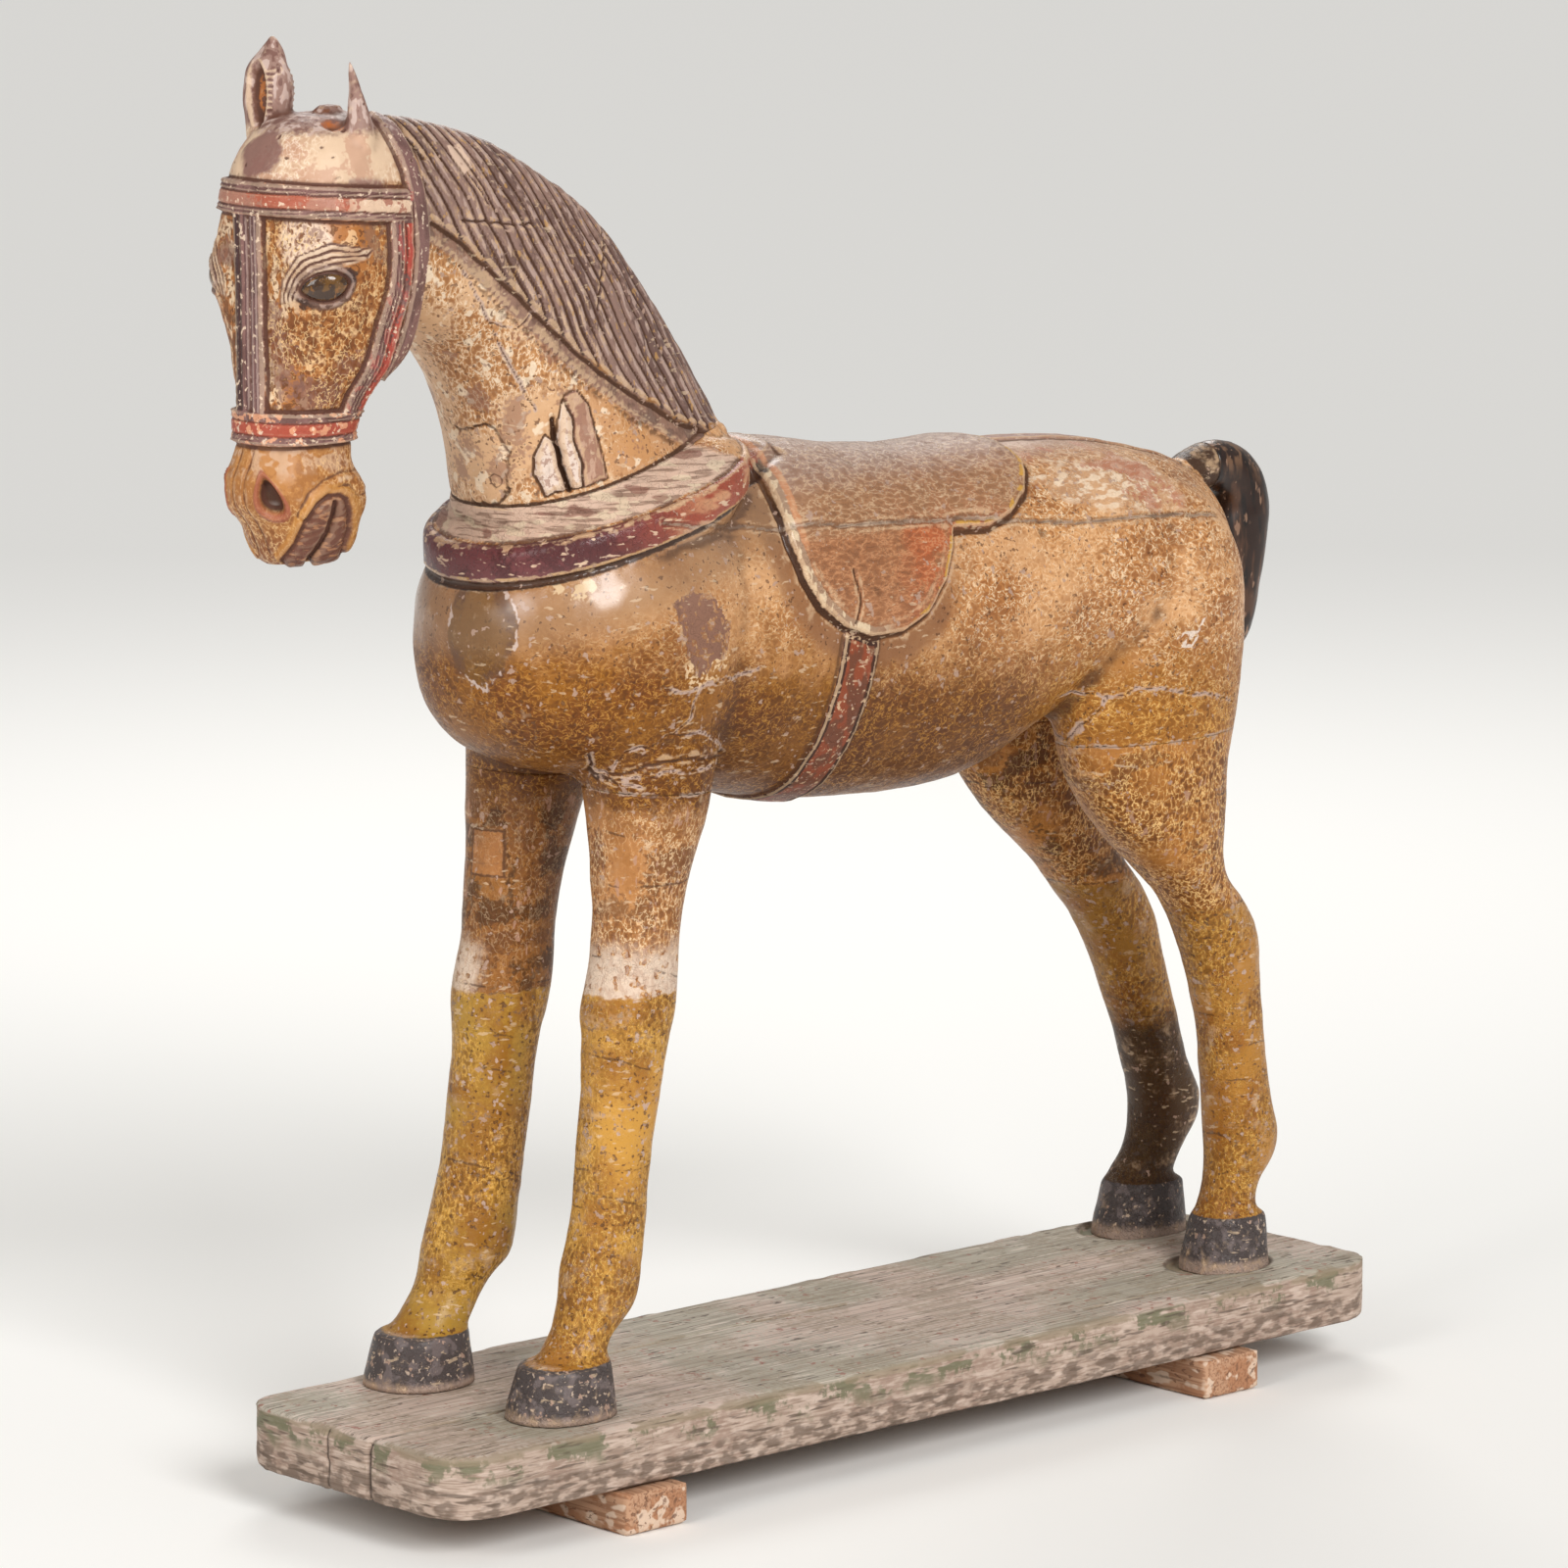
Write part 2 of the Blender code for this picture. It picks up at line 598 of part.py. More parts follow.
def bridle(x, side, z):
    """1 on the straps of the bridle, 0 between them."""
    half = STRAP_WIDTH / UNIT / 2
    flank = rise(side, half, HEAD_SOFT)
    brow = rise(-np.abs(z - BROW_Z), -half, HEAD_SOFT) * rise(-x, STRAPS_MEET, HEAD_SOFT)
    nose = rise(-np.abs(z - NOSE_Z), -half, HEAD_SOFT)
    middle = rise(-side, -half, HEAD_SOFT) * rise(z, NOSE_Z, HEAD_SOFT) * rise(-z, -BROW_Z, HEAD_SOFT)
    middle *= rise(-x, FACE_FRONT, HEAD_SOFT)
    cheek = rise(-line_distance(x, z, CHEEK_STRAP), -half, HEAD_SOFT) * flank
    throat = rise(-line_distance(x, z, THROAT_STRAP), -half, HEAD_SOFT) * flank
    return np.maximum.reduce([brow, nose, middle, cheek, throat])


def eye_relief(x, z):
    """The socket swells, with two lids round the ball and an arch of folds above."""
    ex, ez = EYE
    along, up = x - ex, z - ez - EYE_SLOPE * (x - ex)
    ball = np.hypot(along / EYE_SIZE[0], up / EYE_SIZE[1])
    arch = np.hypot(along / ARCH_SIZE[0], up / ARCH_SIZE[1])
    height = EYE_SOCKET[2] * np.exp(-((along / EYE_SOCKET[0]) ** 2) - (up / EYE_SOCKET[1]) ** 2)
    height += LID_PROUD * np.exp(-(((ball - 1.0) / LID_WIDE) ** 2))
    height -= LID_CUT * np.exp(-(((ball - 1.0 + LID_WIDE) / LID_WIDE) ** 2))
    above = rise(up, EYE_SIZE[1], EYE_SIZE[1])
    return height + ARCH_PROUD * above * np.exp(-(((arch - 1.0) / ARCH_WIDE) ** 2))


def head_relief(x, y, z):
    """Bridle, eyes, nostrils, mouth and ear hollows, in carver's units."""
    side = np.abs(y)
    height = STRAP_PROUD / UNIT * bridle(x, side, z)
    height += eye_relief(x, z) * rise(side, EYE_SOCKET[0], EYE_SOCKET[1])
    nx, ny, nz = NOSTRIL
    rising = (z - nz) / NOSTRIL_SIZE[2]
    level = np.hypot((x - nx) / NOSTRIL_SIZE[0], (side - ny) / NOSTRIL_SIZE[1])
    hole = np.hypot(level / np.clip(1 - NOSTRIL_POINT * rising, 0.5, 1.5), rising)
    height += NOSTRIL_RIM * np.exp(-(((hole - 1.2) / NOSTRIL_SOFT) ** 2))
    height -= NOSTRIL_DEEP * rise(1 - hole, NOSTRIL_SOFT / 2, NOSTRIL_SOFT)
    cheek = rise(side, LIP_SIDE, BODY_SOFT)
    height += LIP_PROUD * cheek * np.exp(-((line_distance(x, z, LIP_EDGE) / LIP_HALF) ** 2))
    height -= SLIT_DEEP * cheek * np.exp(-((line_distance(x, z, MOUTH_SLIT) / SLIT_HALF) ** 2))
    height -= EAR_HOLLOW_DEEP * hump(x, y, z, EAR_HOLLOW, EAR_HOLLOW_SIZE)
    return height - EAR_BREAK_DEEP * hump(x, y, z, EAR_BREAK, EAR_BREAK_SIZE)


def carved(made, relief):
    """Moves the skin out along its own direction by the height of the relief."""
    mesh = made.data
    count = len(mesh.vertices)
    place = np.empty(count * 3, np.float64)
    out = np.empty(count * 3, np.float64)
    mesh.vertices.foreach_get("co", place)
    mesh.vertices.foreach_get("normal", out)
    place = place.reshape(-1, 3)
    out = out.reshape(-1, 3)
    height = relief(*(place.T / UNIT)) * UNIT
    place += out * height[:, None]
    mesh.vertices.foreach_set("co", place.ravel())
    mesh.update()
    return made


def cutter(name, outline, low, high, collection):
    """A prism from a side outline in carver's units, used only to cut."""
    bm = bmesh.new()
    made = bmesh.ops.create_circle(bm, segments=len(outline), radius=1.0, cap_ends=True)
    for vert, (x, z) in zip(made["verts"], outline):
        vert.co = Vector((x, low, z)) * UNIT
    grown = bmesh.ops.extrude_face_region(bm, geom=list(bm.faces))
    verts = [v for v in grown["geom"] if isinstance(v, bmesh.types.BMVert)]
    bmesh.ops.translate(bm, verts=verts, vec=Vector((0, high - low, 0)) * UNIT)
    return hidden(mesh_object(name, bm, collection))


def under(seam, gap, bottom):
    """The side outline of the space below a seam, down to a level."""
    points = [(x, z - gap) for x, z in seam]
    return points + [(points[-1][0], bottom), (points[0][0], bottom)]


def hidden(made):
    """A cutter is not part of the model."""
    made.hide_render = True
    made.display_type = "WIRE"
    return made


def joined_by(made, other, operation):
    """The object after a Boolean with another."""
    boolean = made.modifiers.new("cut", "BOOLEAN")
    boolean.operation = operation
    boolean.solver = "EXACT"
    boolean.object = other
    return settled(made)


def copy_of(made, name):
    """A second object with its own mesh."""
    again = bpy.data.objects.new(name, made.data.copy())
    made.users_collection[0].objects.link(again)
    return again


def halved(made, point, direction):
    """Keeps the side of a plane that the direction points away from, with a flat cap."""
    bm = bmesh.new()
    bm.from_mesh(made.data)
    geometry = bm.verts[:] + bm.edges[:] + bm.faces[:]
    plane = Vector(direction).normalized()
    where = {"plane_co": point, "plane_no": plane, "dist": 1e-7}
    cut = bmesh.ops.bisect_plane(bm, geom=geometry, clear_outer=True, **where)
    rim = [e for e in cut["geom_cut"] if isinstance(e, bmesh.types.BMEdge)]
    bmesh.ops.holes_fill(bm, edges=rim, sides=0)
    bmesh.ops.triangulate(bm, faces=[f for f in bm.faces if len(f.verts) > 4])
    bm.to_mesh(made.data)
    bm.free()
    return made


def collar_rings():
    """The carved collar: an upright band with a ledge that slopes up to the neck."""
    rings = []
    for x, z, half, front, back in COLLAR:
        rings.append(ring(x, 0, z, COLLAR_TILT, half, front, back, 2.2, 0.0))
    return rings


def build_body(collection):
    """Trunk, neck, tail and legs as one skin, carved and brought to the solids' fineness."""
    bm = bmesh.new()
    tube(bm, BARREL, 40)
    tube(bm, CHEST, 30)
    for side in (-1, 1):
        x, y, z, length, width, height = HAUNCH
        ellipsoid(bm, x, side * y, z, length, width, height)
    for rows in LEGS.values():
        tube(bm, rows, 60)
    for hoof in HOOVES.values():
        loft(bm, hoof_rings(*hoof))
    tube(bm, TAIL, 30)
    loft(bm, neck_rings())
    loft(bm, collar_rings())
    body = fused(mesh_object("body", bm, collection), BODY_VOXEL, 3)
    carved(body, body_relief)
    return thinned(body, BODY_TRIANGLES)


def build_head(collection):
    """The head with its bridle, ears and broken forelock, cut flat at its joint."""
    bm = bmesh.new()
    loft(bm, head_rings())
    for rows in (EAR_RIGHT, EAR_LEFT, FORELOCK):
        tube(bm, rows, 16)
    head = fused(mesh_object("head", bm, collection), HEAD_VOXEL, 3)
    carved(head, head_relief)
    thinned(head, HEAD_TRIANGLES)
    (x, z), (nx, nz) = HEAD_JOINT
    out = Vector((-nx, 0, -nz))
    return halved(head, Vector((x, 0, z)) * UNIT - out.normalized() * JOINT_GAP, out)


def part_body(body, parts, cutters):
    """Parts the skin where the carver joined it: legs, tail and neck leave the trunk."""
    gap = JOINT_GAP / UNIT
    trunk = body
    trunk.name = "trunk"
    pieces = {"trunk": trunk}
    for names, (seam, sunk) in LEG_SEAMS.items():
        sole = gap - sunk / UNIT
        seat = cutter("leg_seat", under(seam, gap, sole), -FAR, FAR, cutters)
        room = cutter("leg_room", under(seam, 0.0, BELOW), -FAR, FAR, cutters)
        leg_pair = joined_by(copy_of(body, "legs"), seat, "INTERSECT")
        joined_by(trunk, room, "DIFFERENCE")
        for name, side in zip(names, (-1, 1)):
            leg = copy_of(leg_pair, name)
            pieces[name] = halved(leg, Vector((0, 0, 0)), Vector((0, -side, 0)))
        bpy.data.objects.remove(leg_pair)
    tail = copy_of(trunk, "tail")
    seam = TAIL_JOINT * UNIT
    pieces["tail"] = halved(tail, Vector((seam + JOINT_GAP, 0, 0)), Vector((-1, 0, 0)))
    halved(trunk, Vector((seam, 0, 0)), Vector((1, 0, 0)))
    neck = copy_of(trunk, "neck")
    (x, z), (nx, nz) = NECK_JOINT
    out = Vector((nx, 0, nz)).normalized()
    seat = Vector((x, 0, z)) * UNIT
    halved(neck, seat + out * JOINT_GAP, -out)
    halved(trunk, seat, out)
    (x, z), (nx, nz) = HEAD_JOINT
    out = Vector((-nx, 0, -nz))
    pieces["neck"] = halved(neck, Vector((x, 0, z)) * UNIT, -out)
    return pieces


def rounded(bm, edges, width, steps):
    """Bevels the edges by a width, in a number of steps."""
    shape = {"profile": 0.5, "affect": "EDGES", "material": -1}
    bmesh.ops.bevel(bm, geom=edges, offset=width, segments=steps, **shape)


def build_board(parts, cutters):
    """The board with round corners and pockets that let the rear hooves in."""
    bm = bmesh.new()
    size = Matrix.Diagonal(Vector((BOARD_LENGTH, BOARD_WIDTH, BOARD_THICK, 1)))
    middle = Matrix.Translation((BOARD_BEHIND, 0, -BOARD_THICK / 2))
    bmesh.ops.create_cube(bm, size=1.0, matrix=middle @ size)
    upright = [e for e in bm.edges if abs(e.verts[0].co.z - e.verts[1].co.z) > BOARD_THICK / 2]
    rounded(bm, upright, BOARD_CORNER, 6)
    flat = [f for f in bm.faces if abs(f.normal.z) > 0.9]
    rims = list({e for f in flat for e in f.edges})
    rounded(bm, rims, BOARD_EDGE, 1)
    board = mesh_object("base_board", bm, parts)
    for name in ("leg_rear_left", "leg_rear_right"):
        x, y, half, length = HOOVES[name]
        room = POCKET_ROOM / UNIT
        slot = POCKET_SLOT / UNIT
        depth = POCKET_DEPTH / UNIT
        bm = bmesh.new()
        reach = length + room + slot / 2
        rings = []
        for z in (-depth, depth):
            rings.append(ring(x - slot / 2, y, z, 0, half + room, reach, reach, 2.2, 0.0))
        loft(bm, rings)
        joined_by(board, hidden(mesh_object("pocket", bm, cutters)), "DIFFERENCE")
    return board


def build_batten(name, x, parts):
    """A rough batten under the board, running across it."""
    bm = bmesh.new()
    size = Matrix.Diagonal(Vector((BATTEN_WIDTH, BATTEN_LENGTH, BATTEN_HEIGHT, 1)))
    middle = Matrix.Translation((BOARD_BEHIND + x, 0, -BOARD_THICK - JOINT_GAP - BATTEN_HEIGHT / 2))
    bmesh.ops.create_cube(bm, size=1.0, matrix=middle @ size)
    rounded(bm, list(bm.edges), BATTEN_EDGE, 1)
    return mesh_object(name, bm, parts)


def painted(made, name, colour, roughness):
    """Gives a piece its own Principled material."""
    material = bpy.data.materials.new(name)
    material.use_nodes = True
    shader = material.node_tree.nodes["Principled BSDF"]
    shader.inputs["Base Color"].default_value = (*colour, 1.0)
    shader.inputs["Roughness"].default_value = roughness
    shader.inputs["Metallic"].default_value = 0.0
    made.data.materials.clear()
    made.data.materials.append(material)


def centred(pieces):
    """Moves every piece so that the origin is under the middle of the whole."""
    places = [vert.co for made in pieces for vert in made.data.vertices]
    low = Vector(min(place[axis] for place in places) for axis in range(3))
    high = Vector(max(place[axis] for place in places) for axis in range(3))
    middle = (low + high) / 2
    for made in pieces:
        made.data.transform(Matrix.Translation((-middle.x, -middle.y, -low.z)))


def main():
    for old in list(bpy.data.objects):
        bpy.data.objects.remove(old)
    parts = bpy.data.collections.new("carved_wooden_horse")
    cutters = bpy.data.collections.new("cutters")
    bpy.context.scene.collection.children.link(parts)
    bpy.context.scene.collection.children.link(cutters)
    pieces = part_body(build_body(parts), parts, cutters)
    pieces["head"] = build_head(parts)
    pieces["base_board"] = build_board(parts, cutters)
    batten_x = BOARD_LENGTH / 2 - BATTEN_INSET
    pieces["batten_front"] = build_batten("batten_front", -batten_x, parts)
    pieces["batten_rear"] = build_batten("batten_rear", batten_x, parts)
    for name, made in pieces.items():
        painted(made, name + "_paint", *PAINTS[name.split("_")[0]])
    centred(pieces.values())


main()
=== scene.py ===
# %% [markdown]
# # A carved and painted wooden horse on its board
# The real object is a standing horse of about 1.4 m, carved from several glued pieces of wood,
# painted, varnished and worn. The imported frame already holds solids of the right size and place.
# This script makes the surface that the eye sees: finer carving, cracks, chips and old paint.

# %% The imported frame
import math
import time
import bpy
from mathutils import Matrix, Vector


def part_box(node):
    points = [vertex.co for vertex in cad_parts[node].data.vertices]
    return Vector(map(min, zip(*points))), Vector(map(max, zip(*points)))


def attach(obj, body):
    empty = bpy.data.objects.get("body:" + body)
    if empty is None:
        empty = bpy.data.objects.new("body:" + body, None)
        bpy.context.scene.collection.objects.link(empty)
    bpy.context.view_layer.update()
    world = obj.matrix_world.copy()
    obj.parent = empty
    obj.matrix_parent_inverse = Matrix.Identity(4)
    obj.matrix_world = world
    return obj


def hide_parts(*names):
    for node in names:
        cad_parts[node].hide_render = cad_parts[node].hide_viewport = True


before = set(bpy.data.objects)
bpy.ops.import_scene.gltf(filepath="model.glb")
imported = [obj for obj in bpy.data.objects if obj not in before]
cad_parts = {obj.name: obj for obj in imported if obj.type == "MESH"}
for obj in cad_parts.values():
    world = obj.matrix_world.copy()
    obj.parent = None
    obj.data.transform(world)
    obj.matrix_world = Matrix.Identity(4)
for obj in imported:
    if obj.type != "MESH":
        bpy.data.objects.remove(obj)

from types import SimpleNamespace

import bmesh
import bpy
import numpy as np
from mathutils import Matrix, Vector

STARTED = time.time()
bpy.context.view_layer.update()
BOARD_LOW, BOARD_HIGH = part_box("base_board")

# %% [markdown]
# ## Units
# A carver draws the figure from the board up, so the forms are typed in carver's units: one unit
# is a millimetre, x counts back from the middle of the board and z counts up from its top face.
# The board's box in the frame says where that place is, so nothing has to be fitted afterwards.

# %% Carver's units and the place of the figure
MM = 0.001
BOARD_BEHIND = 8 * MM
ZERO = Vector(((BOARD_LOW[0] + BOARD_HIGH[0]) / 2 - BOARD_BEHIND, 0.0, BOARD_HIGH[2]))
JOINT_GAP = 0.3 * MM
print("figure's zero", [round(v, 4) for v in ZERO])

# %% [markdown]
# ## Rings and limbs
# A limb of a carved figure changes its section all the way along, so it is a loft: a circle is
# created for each section, its points are moved to a squared and tapered ring, and neighbouring
# circles are bridged. Few sections are typed, and a smooth curve through them gives the others.

# %% Helpers for lofts
RING_SIDES = 72


def smooth_rows(rows, count):
    """A station table made count rows long, by a smooth curve through every column."""
    rows = np.array(rows, float)
    ends = np.vstack([2 * rows[0] - rows[1], rows, 2 * rows[-1] - rows[-2]])
    made = []
    for place in np.linspace(0, len(rows) - 1 - 1e-9, count):
        i = int(place)
        t = place - i
        a, b, c, d = ends[i : i + 4]
        square = 2 * a - 5 * b + 4 * c - d
        cube = 3 * b - a - 3 * c + d
        made.append(0.5 * (2 * b + (c - a) * t + square * t**2 + cube * t**3))
    return made


def ring(x, y, z, tilt, half, front, back, square, taper=0.0):
    """The points of one cross section: tilt 0 lies level with its front towards the nose."""
    lean = math.radians(tilt)
    points = []
    for k in range(RING_SIDES):
        turn = 2 * math.pi * k / RING_SIDES
        c, s = math.cos(turn), math.sin(turn)
        side = math.copysign(abs(c) ** (2 / square), c)
        along = math.copysign(abs(s) ** (2 / square), s)
        across = half * side * (1 + taper * along)
        reach = along * (front if s > 0 else back)
        points.append((x - reach * math.cos(lean), y + across, z + reach * math.sin(lean)))
    return points


def loft(bm, rings):
    """Adds a closed solid through the rings, by bridging circles."""
    edges = []
    for i, points in enumerate(rings):
        ends = i in (0, len(rings) - 1)
        made = bmesh.ops.create_circle(bm, segments=len(points), radius=1.0, cap_ends=ends)
        for vert, point in zip(made["verts"], points):
            vert.co = ZERO + Vector(point) * MM
        edges.append(list({e for v in made["verts"] for e in v.link_edges}))
    for first, second in zip(edges, edges[1:]):
        bmesh.ops.bridge_loops(bm, edges=first + second)


def limb(bm, rows, count):
    """Adds a limb from its station table."""
    loft(bm, [ring(*row) for row in smooth_rows(rows, count)])


def ellipsoid(bm, x, y, z, length, width, height):
    """Adds a rounded mass from its middle and its half sizes."""
    place = Matrix.Translation(ZERO + Vector((x, y, z)) * MM)
    size = Matrix.Diagonal(Vector((length * MM, width * MM, height * MM, 1.0)))
    bmesh.ops.create_uvsphere(bm, u_segments=64, v_segments=40, radius=1.0, matrix=place @ size)


print("sides of a ring", RING_SIDES)

# %% [markdown]
# ## The trunk's masses
# Barrel, chest and haunches are separate swelling masses, as a sculptor would build them. The
# barrel's rings stand upright along the back, and the chest's rings lie level, one above another.

# %% Barrel, chest and haunch
# Each row of a table holds x, y and z of a ring's middle, its tilt, half width, reach in front and
# behind, and squareness; the rows of the chest and the barrel leave out what is the same in all
BARREL_ROWS = [
    (-300, 705, 136, 125, 100, 2.2),
    (-250, 705, 140, 145, 116, 2.2),
    (-200, 705, 142, 160, 143, 2.2),
    (-105, 705, 143, 174, 167, 2.2),
    (0, 700, 144, 164, 171, 2.2),
    (80, 698, 144, 158, 171, 2.2),
    (150, 700, 143, 157, 162, 2.2),
    (230, 706, 143, 151, 128, 2.2),
    (314, 712, 140, 139, 110, 2.2),
    (400, 716, 128, 118, 100, 2.2),
    (466, 718, 94, 96, 80, 2.1),
    (506, 718, 60, 60, 50, 2.0),
]
CHEST_X = -302
CHEST_ROWS = [
    (594, 84, 72, 70),
    (602, 102, 96, 80),
    (614, 120, 122, 100),
    (636, 137, 147, 120),
    (664, 148, 164, 140),
    (698, 152, 172, 150),
    (733, 152, 173, 160),
    (766, 148, 167, 160),
    (793, 139, 154, 150),
    (818, 124, 138, 140),
]
BARREL = [(x, 0, z, 90, *sizes) for x, z, *sizes in BARREL_ROWS]
CHEST = [(CHEST_X, 0, z, 0, *reaches, 2.1) for z, *reaches in CHEST_ROWS]
HAUNCH = (376, 70, 686, 106, 79, 130)
print("trunk tables", len(BARREL), len(CHEST))

# %% [markdown]
# ## The legs
# The legs aren't mirrored: the front ones stand a little apart and the right rear one is set back.
# Each has its own table from the elbow or the thigh down to the coronet, where the hoof begins.
# All rings of the legs lie level, so their tables leave out the tilt.

# %% Front legs
LEG_FRONT_LEFT = [
    (-300, -78, 668, 56, 74, 74, 2.2),
    (-301, -80, 615, 60, 70, 70, 2.2),
    (-305, -83, 565, 56, 60, 60, 2.2),
    (-313, -84, 511, 46, 51, 51, 2.1),
    (-320, -85, 456, 40, 44, 44, 2.1),
    (-324, -85, 415, 40, 45, 44, 2.2),
    (-330, -85, 373, 41, 47, 44, 2.3),
    (-334, -85, 345, 38, 43, 42, 2.2),
    (-342, -86, 290, 35, 40, 40, 2.1),
    (-351, -86, 235, 34, 38, 38, 2.1),
    (-359, -87, 180, 34, 37, 38, 2.1),
    (-369, -87, 132, 36, 40, 42, 2.1),
    (-376, -88, 100, 35, 38, 42, 2.1),
    (-394, -88, 70, 30, 33, 30, 2.1),
    (-406, -89, 54, 36, 38, 36, 2.1),
]
LEG_FRONT_RIGHT = [
    (-297, 78, 668, 56, 74, 74, 2.2),
    (-300, 80, 615, 60, 70, 70, 2.2),
    (-308, 83, 570, 56, 60, 60, 2.2),
    (-317, 84, 520, 49, 54, 54, 2.1),
    (-326, 85, 470, 44, 49, 49, 2.1),
    (-331, 86, 425, 42, 47, 46, 2.2),
    (-338, 88, 369, 44, 50, 47, 2.3),
    (-345, 90, 314, 39, 44, 43, 2.1),
    (-353, 92, 258, 38, 43, 43, 2.1),
    (-362, 93, 202, 38, 42, 43, 2.1),
    (-373, 95, 147, 41, 45, 47, 2.1),
    (-380, 96, 117, 41, 45, 47, 2.1),
    (-394, 98, 92, 34, 37, 36, 2.1),
    (-413, 98, 66, 35, 37, 36, 2.1),
    (-423, 99, 52, 37, 40, 38, 2.1),
]
print("front legs, rows", len(LEG_FRONT_LEFT), len(LEG_FRONT_RIGHT))

# %% Rear legs
LEG_REAR_LEFT = [
    (385, -80, 740, 54, 100, 84, 2.1),
    (355, -88, 660, 58, 118, 122, 2.1),
    (348, -89, 608, 59, 116, 120, 2.1),
    (347, -88, 569, 58, 110, 116, 2.1),
    (352, -87, 520, 55, 96, 102, 2.1),
    (371, -85, 470, 51, 76, 82, 2.1),
    (392, -82, 436, 47, 56, 60, 2.1),
    (413, -79, 408, 43, 43, 48, 2.1),
    (440, -76, 382, 40, 42, 46, 2.1),
    (460, -74, 354, 39, 44, 48, 2.1),
    (470, -73, 330, 38, 42, 47, 2.1),
    (480, -72, 290, 35, 39, 42, 2.1),
    (489, -71, 250, 33, 37, 39, 2.1),
    (495, -70, 209, 33, 36, 39, 2.1),
    (501, -70, 168, 34, 37, 41, 2.1),
    (507, -69, 132, 36, 38, 46, 2.1),
    (507, -68, 106, 34, 36, 42, 2.1),
    (498, -68, 84, 29, 31, 31, 2.1),
    (493, -67, 62, 30, 32, 30, 2.1),
    (492, -67, 50, 34, 36, 34, 2.1),
]
LEG_REAR_RIGHT = [
    (385, 80, 740, 54, 100, 84, 2.1),
    (355, 88, 660, 58, 118, 122, 2.1),
    (350, 89, 608, 59, 116, 120, 2.1),
    (351, 89, 569, 58, 110, 116, 2.1),
    (361, 90, 520, 55, 96, 102, 2.1),
    (383, 91, 470, 51, 78, 82, 2.1),
    (408, 92, 432, 47, 60, 62, 2.1),
    (434, 93, 400, 44, 48, 52, 2.1),
    (459, 94, 373, 44, 48, 52, 2.1),
    (478, 95, 350, 41, 46, 50, 2.1),
    (491, 95, 328, 39, 44, 48, 2.1),
    (504, 96, 302, 37, 42, 44, 2.1),
    (522, 98, 262, 35, 39, 41, 2.1),
    (540, 100, 219, 34, 37, 39, 2.1),
    (555, 101, 176, 34, 36, 39, 2.1),
    (569, 102, 140, 35, 38, 44, 2.1),
    (570, 103, 112, 34, 37, 42, 2.1),
    (561, 104, 84, 31, 34, 32, 2.1),
    (545, 105, 62, 32, 34, 32, 2.1),
    (541, 105, 50, 34, 37, 35, 2.1),
]
LEGS = [
    [(x, y, z, 0, *sizes) for x, y, z, *sizes in rows]
    for rows in (LEG_FRONT_LEFT, LEG_FRONT_RIGHT, LEG_REAR_LEFT, LEG_REAR_RIGHT)
]
print("rear legs, rows", len(LEG_REAR_LEFT), len(LEG_REAR_RIGHT))

# %% Hooves
# x and y of the middle on the board, half width and half length there
HOOVES = [(-421, -90, 48, 56), (-436, 99, 50, 56), (490, -67, 43, 48), (541, 105, 46, 52)]
HOOF_TALL = 52.0
HOOF_BACK = 0.55
# Height as a share of the hoof's own height, with the share of the width there
HOOF_SHARES = [(-0.5, 1.0), (0.1, 0.99), (0.86, 0.85), (0.93, 0.84), (1.0, 0.79)]


def hoof_rings(x, y, half, length):
    """A hoof: wide on the board, narrower and further back at the coronet."""
    rings = []
    for height, share in HOOF_SHARES:
        back = (1 - share) * length * HOOF_BACK
        reach = length * share
        rings.append(ring(x + back, y, height * HOOF_TALL, 0, half * share, reach, reach, 2.2))
    return rings


print("hooves", len(HOOVES), "tall", HOOF_TALL, "mm")

# %% [markdown]
# ## Neck, collar and tail
# Each ring of the neck is given by its throat point and its crest point, so the arch of the mane
# and the line of the throat can be set by themselves. The collar is a tilted band with a ledge.

# %% Neck, collar and tail
NECK = [
    # throat x and z, crest x and z, half width, squareness, taper
    (-436, 800, -148, 830, 108, 2.1, 0.1),
    (-440, 845, -152, 880, 100, 2.1, 0.18),
    (-447, 886, -174, 929, 89, 2.1, 0.26),
    (-460, 922, -199, 974, 80, 2.0, 0.34),
    (-474, 956, -231, 1021, 75, 2.0, 0.4),
    (-492, 985, -269, 1070, 72, 2.0, 0.42),
    (-516, 1008, -322, 1120, 69, 2.0, 0.42),
    (-546, 1024, -396, 1166, 68, 2.0, 0.38),
    (-576, 1036, -466, 1196, 67, 2.0, 0.3),
    (-614, 1046, -541, 1212, 66, 2.0, 0.2),
    (-650, 1060, -606, 1214, 64, 2.0, 0.1),
]
COLLAR = [
    # x of the middle, z, half width, reach in front, reach behind
    (-300, 800, 120, 148, 140),
    (-300, 821, 133, 163, 150),
    (-300, 826, 137, 167, 153),
    (-300, 850, 137, 167, 153),
    (-299, 856, 133, 162, 149),
    (-296, 872, 112, 143, 132),
    (-292, 884, 94, 122, 112),
]
COLLAR_TILT = -14.5
NECK_RINGS = 50
TAIL = [
    (440, 0, 778, 72, 24, 20, 22, 2.0),
    (484, 0, 796, 74, 25, 20, 24, 2.0),
    (521, 0, 806, 88, 26, 24, 26, 2.0),
    (548, 0, 799, 118, 27, 29, 28, 2.0),
    (565, 0, 780, 150, 29, 33, 34, 2.0),
    (573, 0, 752, 176, 31, 29, 46, 2.1),
    (570, 0, 712, 184, 31, 25, 46, 2.1),
    (567, 0, 672, 184, 28, 21, 38, 2.1),
    (565, 0, 638, 184, 23, 17, 27, 2.0),
    (563, 0, 612, 184, 11, 9, 12, 2.0),
]


